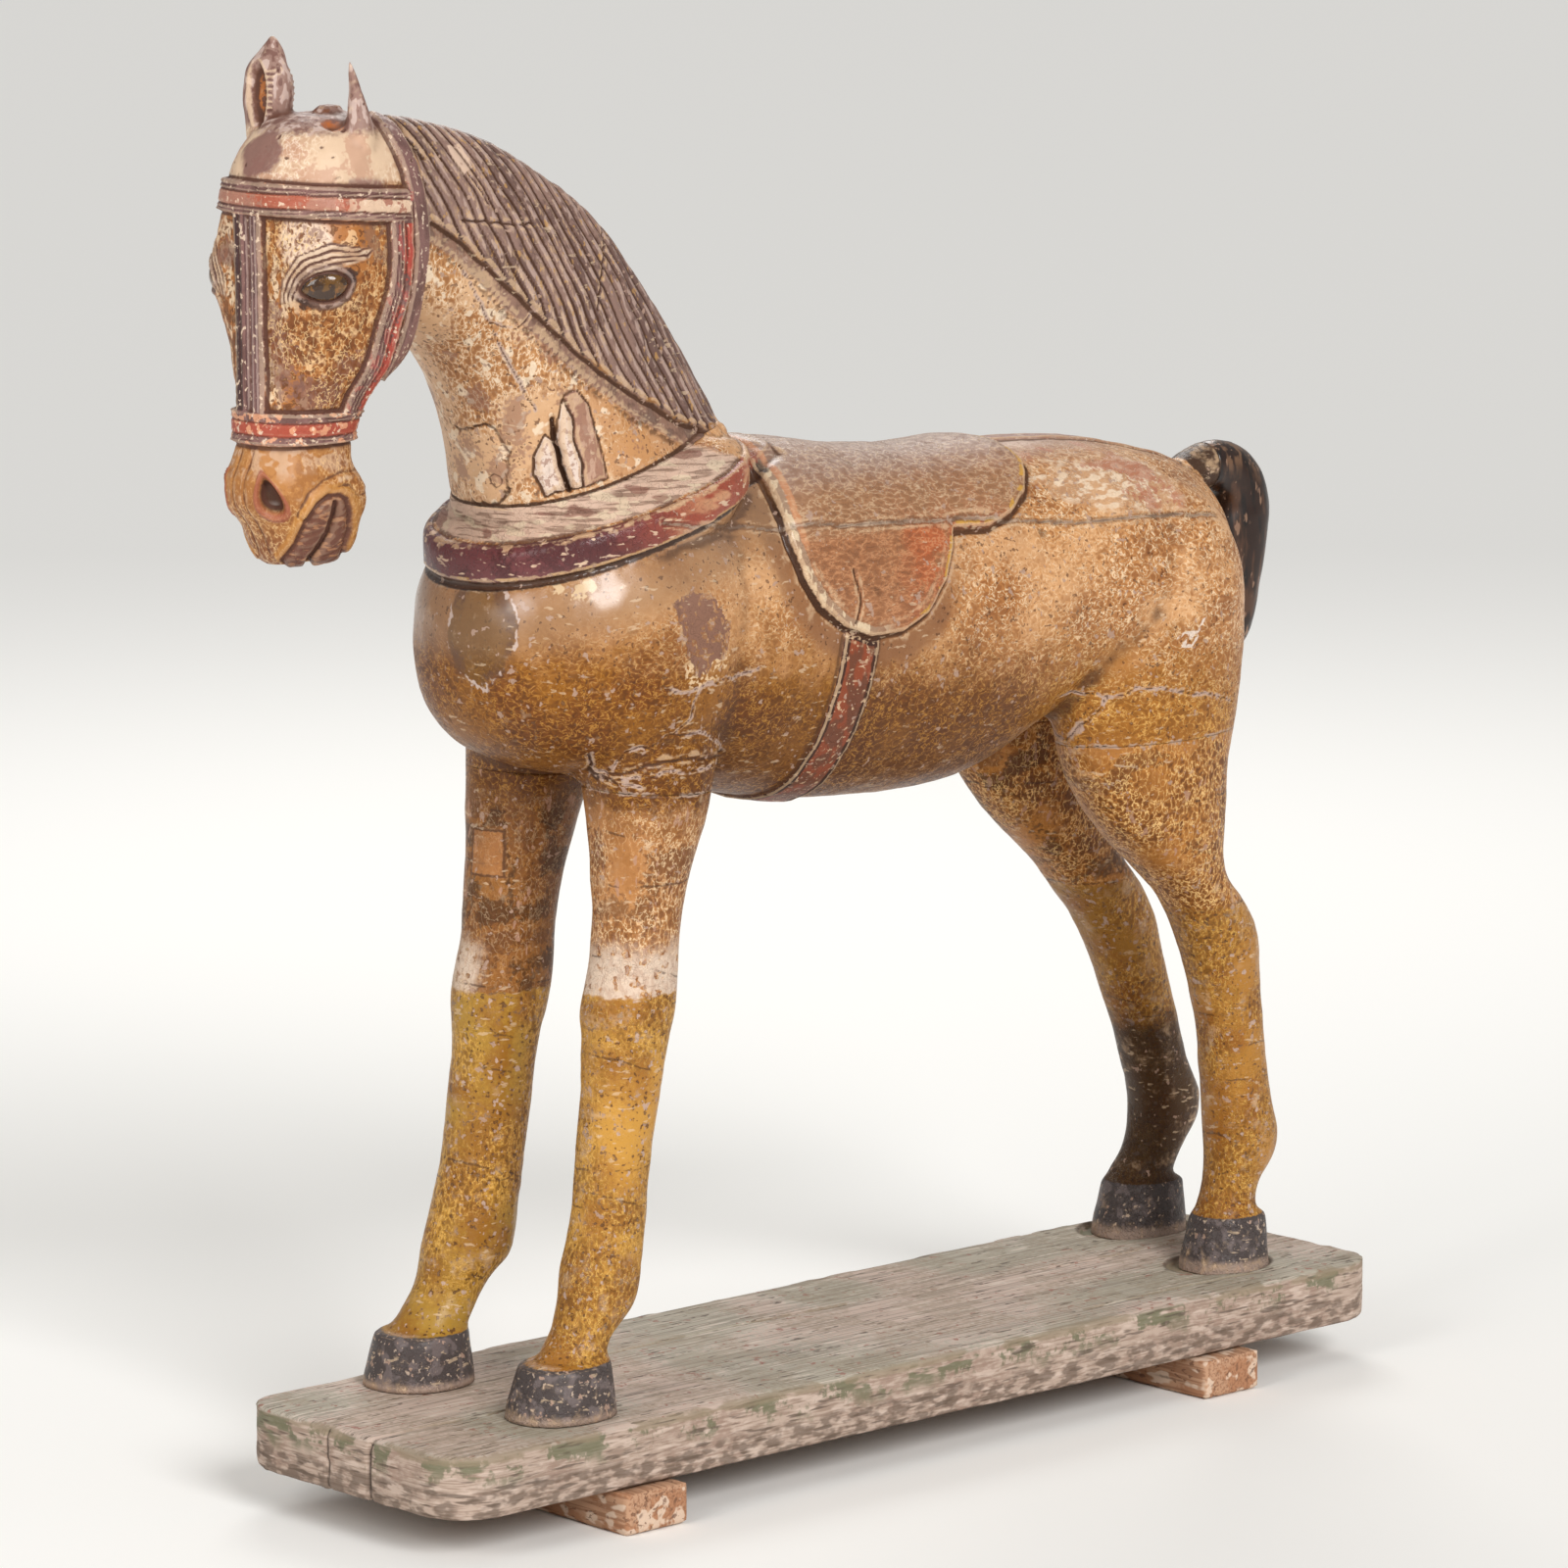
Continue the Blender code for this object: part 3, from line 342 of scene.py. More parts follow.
def neck_rings():
    """The neck's rings, each between a throat point and a crest point."""
    rings = []
    for tx, tz, cx, cz, half, square, taper in smooth_rows(NECK, NECK_RINGS):
        reach = math.hypot(tx - cx, tz - cz) / 2
        tilt = math.degrees(math.atan2(tz - cz, cx - tx))
        rings.append(ring((tx + cx) / 2, 0, (tz + cz) / 2, tilt, half, reach, reach, square, taper))
    return rings


def collar_rings():
    """The collar: an upright band with a ledge that slopes up to the neck."""
    return [ring(x, 0, z, COLLAR_TILT, *reaches, 2.2) for x, z, *reaches in COLLAR]


print("rings of neck and collar", len(neck_rings()), len(collar_rings()))

# %% [markdown]
# ## One skin from many masses
# The masses overlap, so a voxel remesh melts them into one skin of even quads, and rounds of
# smoothing make the hollows where muscles meet. The collar and hooves have crisper edges, so they
# are melted in afterwards and smoothed only a little.

# %% Melting the masses together
BODY_VOXEL = 4.6 * MM
SOFT_ROUNDS = 6
CRISP_ROUNDS = 2


def mesh_object(name, bm):
    """An object made from a bmesh, with its faces pointing out."""
    bmesh.ops.recalc_face_normals(bm, faces=bm.faces)
    mesh = bpy.data.meshes.new(name)
    bm.to_mesh(mesh)
    bm.free()
    made = bpy.data.objects.new(name, mesh)
    bpy.context.scene.collection.objects.link(made)
    return made


def settled(made):
    """The object with its modifiers worked into its mesh."""
    bpy.context.view_layer.update()
    graph = bpy.context.evaluated_depsgraph_get()
    mesh = bpy.data.meshes.new_from_object(made.evaluated_get(graph), depsgraph=graph)
    old = made.data
    made.modifiers.clear()
    made.data = mesh
    bpy.data.meshes.remove(old)
    return made


def copy_of(made):
    """A bmesh with the object's own mesh."""
    bm = bmesh.new()
    bm.from_mesh(made.data)
    return bm


def smoothed(bm, verts, rounds):
    """Rounds of smoothing on some vertices."""
    axes = {"use_axis_x": True, "use_axis_y": True, "use_axis_z": True}
    for _ in range(rounds):
        bmesh.ops.smooth_vert(bm, verts=verts, factor=0.5, **axes)


def melted(made, voxel, rounds):
    """The object's overlapping masses as one skin, softened where they meet."""
    remesh = made.modifiers.new("one skin", "REMESH")
    remesh.mode = "VOXEL"
    remesh.voxel_size = voxel
    settled(made)
    bm = copy_of(made)
    smoothed(bm, bm.verts, rounds)
    bm.to_mesh(made.data)
    bm.free()
    return made


print("width of a voxel", round(BODY_VOXEL / MM, 1), "mm")

# %% The body's skin
# How many rings the smooth curve gives each limb
BARREL_RINGS = 60
CHEST_RINGS = 50
LEG_RINGS = 90
TAIL_RINGS = 50

bm = bmesh.new()
limb(bm, BARREL, BARREL_RINGS)
limb(bm, CHEST, CHEST_RINGS)
for side in (-1, 1):
    ellipsoid(bm, HAUNCH[0], side * HAUNCH[1], *HAUNCH[2:])
for rows in LEGS:
    limb(bm, rows, LEG_RINGS)
limb(bm, TAIL, TAIL_RINGS)
loft(bm, neck_rings())
body = melted(mesh_object("body", bm), BODY_VOXEL, SOFT_ROUNDS)
bm = copy_of(body)
bpy.data.objects.remove(body)
loft(bm, collar_rings())
for hoof in HOOVES:
    loft(bm, hoof_rings(*hoof))
body = melted(mesh_object("body", bm), BODY_VOXEL, CRISP_ROUNDS)
print("body faces", len(body.data.polygons), round(time.time() - STARTED, 1), "s")

# %% [markdown]
# ## The head
# The head hangs straight down, so its rings lie level from the poll to the lips. The far ear is a
# whole leaf; the near one is broken down to a spike, and the forelock is only a stub.

# %% Head, ears and forelock
HEAD_VOXEL = 1.9 * MM
HEAD_ROUNDS = 8
HEAD_RINGS = 90
EAR_RINGS = 40
HEAD = [
    # z, x of the front, x of the back, half width, squareness, taper
    (1224, -650, -590, 24, 2.0, 0.0),
    (1216, -674, -560, 50, 2.1, 0.0),
    (1198, -692, -540, 66, 2.2, 0.0),
    (1174, -703, -530, 75, 2.4, -0.02),
    (1150, -706, -528, 80, 2.6, -0.04),
    (1120, -706, -530, 83, 2.7, -0.06),
    (1085, -705, -538, 84, 2.7, -0.08),
    (1050, -705, -546, 81, 2.6, -0.12),
    (1020, -705, -552, 76, 2.5, -0.14),
    (998, -705, -568, 70, 2.4, -0.12),
    (981, -705, -584, 61, 2.4, -0.1),
    (963, -705, -597, 54, 2.4, -0.06),
    (942, -707, -604, 49, 2.4, -0.02),
    (926, -710, -602, 46, 2.3, 0.0),
    (911, -716, -603, 48, 2.3, 0.0),
    (900, -722, -597, 51, 2.3, 0.0),
    (886, -723, -589, 53, 2.3, 0.0),
    (872, -720, -587, 53, 2.3, 0.0),
    (862, -712, -590, 51, 2.3, 0.0),
    (850, -703, -597, 48, 2.3, 0.0),
    (836, -697, -601, 44, 2.3, 0.0),
    (824, -692, -608, 36, 2.2, 0.0),
    (818, -684, -618, 22, 2.0, 0.0),
]
EAR_RIGHT = [
    (-640, 50, 1186, 0, 22, 20, 18, 2.0),
    (-641, 51, 1212, 0, 25, 19, 18, 2.0),
    (-640, 52, 1233, 0, 28, 21, 21, 2.0),
    (-639, 52, 1250, 0, 28, 20, 20, 2.0),
    (-640, 52, 1264, 0, 24, 16, 16, 2.0),
    (-636, 52, 1276, 0, 16, 12, 12, 2.0),
    (-634, 52, 1285, 0, 9, 7, 7, 2.0),
    (-634, 52, 1292, 0, 3, 3, 3, 2.0),
]
EAR_LEFT = [
    (-622, -52, 1186, 0, 18, 18, 18, 2.0),
    (-620, -52, 1212, 0, 15, 15, 15, 2.0),
    (-621, -52, 1230, 0, 11, 11, 11, 2.0),
    (-623, -52, 1246, 0, 8, 7, 7, 2.0),
    (-626, -52, 1260, 0, 6, 5, 5, 2.0),
    (-630, -52, 1275, 0, 2, 2, 2, 2.0),
]
FORELOCK = [
    (-618, 0, 1206, 0, 15, 14, 16, 2.2),
    (-614, 0, 1225, 0, 13, 11, 14, 2.4),
    (-611, 0, 1231, 0, 10, 8, 10, 2.4),
]

bm = bmesh.new()
rings = []
for z, front, back, half, square, taper in smooth_rows(HEAD, HEAD_RINGS):
    reach = (back - front) / 2
    rings.append(ring((front + back) / 2, 0, z, 0, half, reach, reach, square, taper))
loft(bm, rings)
for rows in (EAR_RIGHT, EAR_LEFT, FORELOCK):
    limb(bm, rows, EAR_RINGS)
head = melted(mesh_object("head", bm), HEAD_VOXEL, HEAD_ROUNDS)
print("head faces", len(head.data.polygons), round(time.time() - STARTED, 1), "s")

# %% [markdown]
# ## Lines and marks of the carving
# The relief is drawn as a carver would mark it out, as lines on the side of the horse: the edge of
# the saddle, the girth, the straps, the lower edge of the mane, and later the cracks and repairs.
# Every vertex learns how far it lies from each line. The same distances shape the relief and tell
# the paint where to change colour, so colour and carving always agree.

# %% Outlines of the carving, seen from the side
SADDLE_OUTLINE = [
    (-142, 1000), (-143, 890), (-150, 858), (-158, 830), (-161, 800), (-154, 768), (-136, 740),
    (-110, 719), (-76, 706), (-35, 707), (-2, 722), (26, 750), (44, 778), (52, 793), (100, 791),
    (135, 801), (168, 818), (194, 840), (203, 870), (203, 1000),
]
GIRTH_LINE = [(-84, 712), (-98, 643), (-105, 589), (-104, 552), (-104, 480)]
MANE_EDGE = [
    (-620, 1165), (-531, 1116), (-483, 1077), (-433, 1034), (-383, 992), (-322, 953), (-258, 920),
    (-215, 906), (-120, 890),
]
CHEEK_STRAP = [
    (-594, 1160), (-597, 1131), (-598, 1100), (-602, 1066), (-611, 1036), (-616, 1003), (-627, 972),
    (-634, 942),
]
THROAT_STRAP = [
    (-584, 1211), (-576, 1177), (-573, 1147), (-571, 1107), (-576, 1063), (-586, 1024), (-594, 995),
]
# The face is drawn as it is seen from the front quarter: sideways distance u, and z
LIP_LOOP = [
    (-497, 806), (-496, 825), (-483, 841), (-473, 862), (-461, 879), (-450, 887), (-439, 887),
    (-431, 881), (-428, 868), (-429, 848), (-434, 833), (-440, 806),
]
MOUTH_SLIT = [(-443, 877), (-445, 866), (-451, 849), (-459, 836), (-468, 824), (-474, 810)]
LIP_FOLD = [(-470, 868), (-461, 884), (-450, 893), (-437, 898), (-427, 897), (-420, 886)]
BROW_OUTER = [(-489, 1060), (-487, 1080), (-473, 1103), (-445, 1115), (-409, 1106)]
BROW_INNER = [(-475, 1064), (-469, 1078), (-458, 1089), (-441, 1094), (-415, 1099)]
print("edges drawn for the saddle and the mane", len(SADDLE_OUTLINE), len(MANE_EDGE))

# %% Cracks and repairs on the side that shows
CRACKS = [
    [(-370, 600), (-345, 611), (-306, 615), (-227, 607)],
    [(-514, 1123), (-462, 1116), (-417, 1111)],
    [(-548, 1203), (-567, 1181), (-548, 1157)],
    [(-490, 1163), (-483, 1148), (-476, 1134)],
    [(-300, 1102), (-330, 1062), (-352, 1030)],
    [(-389, 623), (-376, 606), (-364, 593)],
    [(-95, 770), (-90, 742), (-97, 722)],
]
WIDE_CRACKS = [
    [(-411, 934), (-409, 912), (-401, 886), (-396, 868)],
    [(-553, 1212), (-549, 1195), (-541, 1180)],
]
GLUE_LINE = [
    (-330, 837), (-229, 821), (-170, 815), (-72, 807), (45, 801), (145, 795), (219, 787),
    (300, 785), (365, 781), (420, 776),
]
# Old cracks and patch edges that were filled with a pale paste
FILLED_LINES = [
    [(-372, 602), (-360, 624), (-328, 638), (-285, 637), (-240, 618), (-227, 609)],
    [(-389, 623), (-376, 606), (-366, 596), (-348, 590)],
    [(-366, 598), (-330, 604), (-300, 600), (-262, 602), (-227, 609)],
    [(238, 566), (242, 588), (258, 610), (285, 618), (308, 616), (375, 604), (429, 590)],
    [(258, 612), (225, 618), (205, 615)],
    [(-345, 688), (-318, 680), (-290, 686), (-262, 684), (-215, 690)],
    [(-300, 680), (-303, 655), (-318, 640)],
    [(-517, 1082), (-480, 1028), (-448, 978), (-426, 943)],
    [(-480, 1028), (-452, 1020), (-430, 1040)],
]
SEAM_FILLERS = [[(-372, 586), (-236, 576)], [(236, 560), (460, 560)]]
NECK_SLIVERS = [
    [(-424, 899), (-417, 919), (-411, 914), (-399, 868), (-416, 864), (-423, 883)],
    [
        (-402, 952), (-392, 935), (-392, 914), (-386, 896),
        (-386, 872), (-395, 869), (-402, 890), (-409, 914),
    ],
]
NECK_BLOCKS = [
    [
        (-401, 956), (-386, 960), (-374, 947), (-367, 919),
        (-360, 877), (-386, 871), (-387, 896), (-393, 935),
    ],
    [
        (-460, 924), (-457, 930), (-452, 926), (-440, 903),
        (-436, 868), (-441, 853), (-450, 853), (-459, 880),
    ],
]
PLUG = (-441, -28, 876)
MANE_PATCH = [(-505, 1186), (-486, 1186), (-482, 1166), (-500, 1160)]
BARE_STAIN = [
    (-325, 762), (-300, 772), (-275, 762), (-256, 734), (-266, 706), (-301, 693), (-316, 722),
]
# The round stain's middle and half sizes, and the middles of the chips beside it
CHEST_STAIN = ((-466, -34, 738), (30, 38, 50))
CREAM_CHIPS = [(-424, -96, 782), (-398, -115, 786), (-411, -107, 777)]
CROUP_WORN = [(196, 827), (268, 838), (350, 834), (375, 820), (372, 794), (290, 792), (218, 807)]
HOOK = [(335, 660), (346, 668), (358, 668), (364, 661), (354, 653), (341, 655), (364, 668), (373, 683)]
print("cracks and filled lines", len(CRACKS) + len(WIDE_CRACKS), len(FILLED_LINES))

# %% [markdown]
# ## Numbers that shape wood
# `rise` is a soft step, `line_distance` and `inside_distance` measure from drawn lines, and
# `lumps` is a smooth random height that stays the same in every run. Old carving is never even,
# so almost every surface gets some of it.

# %% Soft steps, distances and lumps
TABLE = np.random.default_rng(7).random((32, 32, 32))


def rise(value, start, soft):
    """0 below start, 1 above it, with a soft edge."""
    t = np.clip((value - start) / soft + 0.5, 0.0, 1.0)
    return t * t * (3 - 2 * t)


def bell(value, width):
    """1 at 0, falling away to nothing over the width."""
    return np.exp(-((value / width) ** 2))


def line_distance(x, z, points):
    """Distance from a line of points in the side view."""
    best = np.full(x.shape, 1e6)
    for (ax, az), (bx, bz) in zip(points, points[1:]):
        dx, dz = bx - ax, bz - az
        t = np.clip(((x - ax) * dx + (z - az) * dz) / (dx * dx + dz * dz), 0.0, 1.0)
        best = np.minimum(best, np.hypot(x - ax - t * dx, z - az - t * dz))
    return best


def inside_distance(x, z, outline):
    """Distance inside an outline in the side view, negative outside."""
    inside = np.zeros(x.shape, bool)
    for (ax, az), (bx, bz) in zip(outline, outline[1:] + outline[:1]):
        crosses = (az > z) != (bz > z)
        with np.errstate(divide="ignore", invalid="ignore"):
            inside ^= crosses & (x < (bx - ax) * (z - az) / (bz - az) + ax)
    return np.where(inside, 1, -1) * line_distance(x, z, outline + outline[:1])


def nearest(x, z, lines):
    """Distance from the nearest of several lines."""
    return np.minimum.reduce([line_distance(x, z, line) for line in lines])


def deepest(x, z, outlines):
    """Distance inside the outline that a place lies deepest in."""
    return np.maximum.reduce([inside_distance(x, z, outline) for outline in outlines])


def lumps(x, y, z, size, seed=0):
    """A smooth random height from -1 to 1, with lumps of about the given size."""
    places = [np.asarray(v, float) / size + 5.3 * seed for v in (x, y, z)]
    cells = [np.floor(v).astype(int) for v in places]
    parts = [v - c for v, c in zip(places, cells)]
    parts = [p * p * (3 - 2 * p) for p in parts]
    total = np.zeros(np.shape(x))
    for corner in range(8):
        steps = [corner & 1, corner >> 1 & 1, corner >> 2 & 1]
        index = tuple((c + s) % 32 for c, s in zip(cells, steps))
        weight = 1.0
        for part, step in zip(parts, steps):
            weight = weight * (part if step else 1 - part)
        total = total + TABLE[index] * weight
    return total * 2 - 1


def distance(x, y, z, point):
    """Distance from a point."""
    return np.hypot(np.hypot(x - point[0], y - point[1]), z - point[2])


def squares(x, y, z, middle, sizes):
    """The squared distance from a middle, in shares of the half sizes; 1 is their rounded edge."""
    parts = zip((x, y, z), middle, sizes)
    return sum(((place - centre) / reach) ** 2 for place, centre, reach in parts)


def hump(x, y, z, middle, sizes):
    """1 at the middle, falling away to 0 over the half sizes."""
    return np.exp(-squares(x, y, z, middle, sizes))


print("a lump at the board's middle", round(float(lumps(0.0, 0.0, 0.0, 24, 1)), 3))

# %% [markdown]
# ## The body's carving
# The saddle stands about 9 mm proud, the girth and the crupper strap less. Along the old glue line
# over the flank the wood has shrunk, so the line lies in a groove between edges that have risen.
# Dents and a carver's uneven gouge strokes are cut over everything in low lumps.

# %% Measures along the body
SADDLE_PROUD = 9.0
GIRTH_HALF = 23.0
GIRTH_PROUD = 3.6
# Where the crupper strap starts and ends along the back, its lowest level and its half width
CRUPPER = (206.0, 470.0, 797.0, 14.0)
CRUPPER_PROUD = 3.0
# Marks of one side only lie this far away from the other side
OTHER_SIDE = 1000.0
NEAR_SIDE_END = 8
MANE_END = -122.0
MANE_FOOT = 888.0
MANE_SLOPE = 0.72
MANE_LEAN = (0.90, 0.43)
MANE_PITCH = 12.8
COLLAR_FOOT = (-300.0, 824.0)
COLLAR_LEAN = (-0.25, 0.968)
BAND_TOP = 31.0
LEDGE = (35.0, 60.0)
# The collar's places lie in front of this x and below this z
COLLAR_REACH = (-110, 960)
# The tail's root: its middle and half sizes, and the x behind which all is tail
TAIL_ROOT = ((506, 0, 804), (24, 36, 34))
TAIL_START = 518


def body_measures(x, y, z):
    """Distances from the drawn lines, in millimetres; above 0 is inside."""
    near = np.where(y < NEAR_SIDE_END, 0.0, OTHER_SIDE)
    wander = 1.6 * lumps(x, y, z, 16, 1) + 0.8 * lumps(x, y, z, 6, 2)
    made = SimpleNamespace(saddle=inside_distance(x, z, SADDLE_OUTLINE) + 0.5 * wander)
    under_saddle = -made.saddle - 1.0
    made.girth = np.minimum(GIRTH_HALF - line_distance(x, z, GIRTH_LINE) + 0.4 * wander, under_saddle)
    made.collar = COLLAR_LEAN[0] * (x - COLLAR_FOOT[0]) + COLLAR_LEAN[1] * (z - COLLAR_FOOT[1])
    above = (z - np.interp(x, *zip(*MANE_EDGE))) * MANE_SLOPE
    made.mane = np.minimum.reduce([above + 0.6 * wander, MANE_END - x, z - MANE_FOOT])
    across = MANE_LEAN[0] * x + MANE_LEAN[1] * z
    across = across + 7 * lumps(x, y, z, 90, 3) + 3 * lumps(x, y, z, 34, 4)
    along = MANE_LEAN[0] * z - MANE_LEAN[1] * x
    hair = 0.22 * lumps(across, along / 14, y / 14, 3.4, 13)
    made.flute = np.abs(np.sin(math.pi * across / MANE_PITCH)) + hair
    start, end, low, half = CRUPPER
    made.crupper = np.minimum.reduce([half - np.abs(y), x - start, end - x, z - low])
    made.crack = nearest(x + wander, z + wander, CRACKS) + near
    made.wide = nearest(x + wander, z, WIDE_CRACKS) + near
    made.glue = line_distance(x, z + 0.9 * wander, GLUE_LINE) + near
    made.filled = nearest(x + 1.5 * wander, z - 1.5 * wander, FILLED_LINES) + near
    made.seam = nearest(x, z + 0.8 * wander, SEAM_FILLERS) + near
    made.sliver = deepest(x + wander, z - wander, NECK_SLIVERS) - near
    made.block = deepest(x + wander, z - wander, NECK_BLOCKS) - near
    made.plug = distance(x, y, z, PLUG)
    made.bare = inside_distance(x + 2 * wander, z - 2 * wander, BARE_STAIN) - near
    made.croup = inside_distance(x + 3 * wander, z - 3 * wander, CROUP_WORN)
    made.stain = np.sqrt(squares(x, y, z, *CHEST_STAIN)) + 0.07 * wander
    chips = [distance(x, y, z, chip) for chip in CREAM_CHIPS]
    made.chip = np.minimum.reduce(chips) + 3.0 * lumps(x, y, z, 7, 11) + 1.5 * wander
    made.hook = line_distance(x, z, HOOK) + near
    made.mane_patch = inside_distance(x + wander, z, MANE_PATCH) - near
    root = np.sqrt(squares(x + 4 * wander, y, z, *TAIL_ROOT))
    made.tail = np.where(x > TAIL_START, 1.0, 1.25 - root)
    return made


# One point on the saddle's flap, to try things out
FLAP_POINT = np.array([[-50.0], [-150.0], [800.0]])
print("the flap's point is", body_measures(*FLAP_POINT).saddle.round(1), "mm inside its edge")


# %% Relief of collar and body
def collar_relief(x, y, z, m):
    """A crisp band with an undercut below it, and a grainy ledge above it."""
    up = m.collar
    here = (x < COLLAR_REACH[0]) * (z < COLLAR_REACH[1])
    band = rise(up, 0.5, 2.5) * rise(-up, -BAND_TOP, 3.0)
    height = 2.2 * band - 3.4 * bell(up + 2.6, 2.6) - 0.8 * bell(up - 34.0, 2.4)
    height -= 1.6 * bell(up - 61.0, 1.6)
    ledge = rise(up, LEDGE[0], 2.0) * rise(-up, -LEDGE[1], 5.0)
    return here * (height + ledge * 0.8 * lumps(x / 4, y / 4, z, 4, 6))


def body_relief(x, y, z, m):
    """Height of the carving on the body, in millimetres."""
    blanket = rise(m.saddle, 0.5, 4.0)
    height = (SADDLE_PROUD - 2.5) * blanket + 2.0 * rise(m.saddle, 9.0, 12.0)
    height -= 2.4 * bell(m.saddle + 2.5, 2.2) * rise(-z, -856, 20)
    height += 1.2 * rise(m.saddle, 14.0, 26.0) * rise(z, 790, 20)
    girth = rise(m.girth, 0.5, 2.5) * (z < 716)
    height += girth * (GIRTH_PROUD - 0.9 * bell(m.girth - 6.0, 1.6))
    height += CRUPPER_PROUD * rise(m.crupper, 0.0, 4.0)
    mane = rise(m.mane, 1.0, 4.5)
    strip = rise(m.mane, -15.0, 3.0)
    crown = bell(y, 12.0)
    cut = np.clip(1 - m.flute, 0, 1) ** 1.3
    height += 2.0 * strip * (x < MANE_END) + mane * (4.6 - 3.0 * cut * (1 - 0.6 * crown))
    height += 1.2 * bell(m.mane - 2.0, 1.8) - 1.4 * bell(m.mane + 1.5, 1.6)
    open_wood = 1 - rise(m.mane, 0.0, 6.0)
    height -= 2.2 * bell(m.crack, 1.5) + 9.0 * bell(m.wide, 2.6)
    height -= 0.5 * bell(m.glue, 2.2) - 0.7 * bell(m.glue - 4.5, 2.5)
    height += 0.9 * bell(m.filled - 1.5, 2.0) - 1.6 * bell(m.filled + 0.6, 1.4)
    sliver = rise(m.sliver, 0.0, 2.0) * (2.4 + 1.2 * lumps(x, y, z, 9, 5))
    height += sliver - 2.4 * bell(m.sliver, 1.6)
    block = 0.6 * rise(m.block, 0.0, 2.0) - 2.2 * bell(m.block, 1.4)
    height += block - bell(m.plug - 6.0, 1.4)
    height -= 0.9 * rise(m.bare, 0.0, 4.0) + 0.5 * rise(10.0 - m.chip, 0.0, 3.0)
    height += collar_relief(x, y, z, m) * open_wood
    uneven = 0.9 * lumps(x, y, z, 60, 7) + 0.6 * lumps(x, y, z, 24, 8)
    height += uneven + 0.35 * lumps(x, y, z, 11, 9) - 0.9
    dents = np.clip(lumps(x, y, z, 34, 10) - 0.62, 0, 1)
    return height - 4.0 * dents


found = body_measures(*FLAP_POINT)
print("and stands", body_relief(*FLAP_POINT, found).round(1), "mm proud")

# %% [markdown]
# ## The head's carving
# The bridle is a set of flat straps with a thin bead along each edge. The eye is an almond ball
# between thick lids with folds arched above it, the nostril a teardrop hole with a raised rim, and
# the mouth a deep slit inside a looping lip.

# %% Measures on the head
BROW = (-695.0, 1151.5, 0.077, 15.0)
NOSE = (944.5, 15.0)
CENTRE_HALF = 19.0
CHEEK_HALF = 13.0
THROAT_HALF = 11
# The middle strap lies in front of this x, the brow strap ends at this one, and the straps on the
# sides start this far from the middle
MIDDLE_BACK = -676.0
BROW_END = -586.0
STRAPS_START = 12
STRAP_PROUD = 5.0
EYE = (-674.0, 1077.0)
EYE_HALF = (16.0, 12.5)
EYE_TURN = 0.26
# Eye, brow folds and mouth lie further than this from the middle of the face
EYE_SIDE = 45
FOLD_SIDE = 30
MOUTH_SIDE = 14
# The value of a measure far away from its line
FAR_INSIDE = -50.0
FAR_ROUND = 9.0
FAR_LINE = 100.0
NOSTRIL = (-502.0, 885.0, 11.0, 19.0)
# The ear's hollow as seen from the ear's own front: middle and half sizes
EAR_HOLLOW = (-516.0, 1240.0, 8.0, 25.0)
EAR_MIDDLE = (-640, 52)
# Across the view from the front quarter, x and y count for these shares
VIEW_X, VIEW_Y = 0.736, 0.676
EAR_BREAK = (-641.0, -42.0, 1221.0)


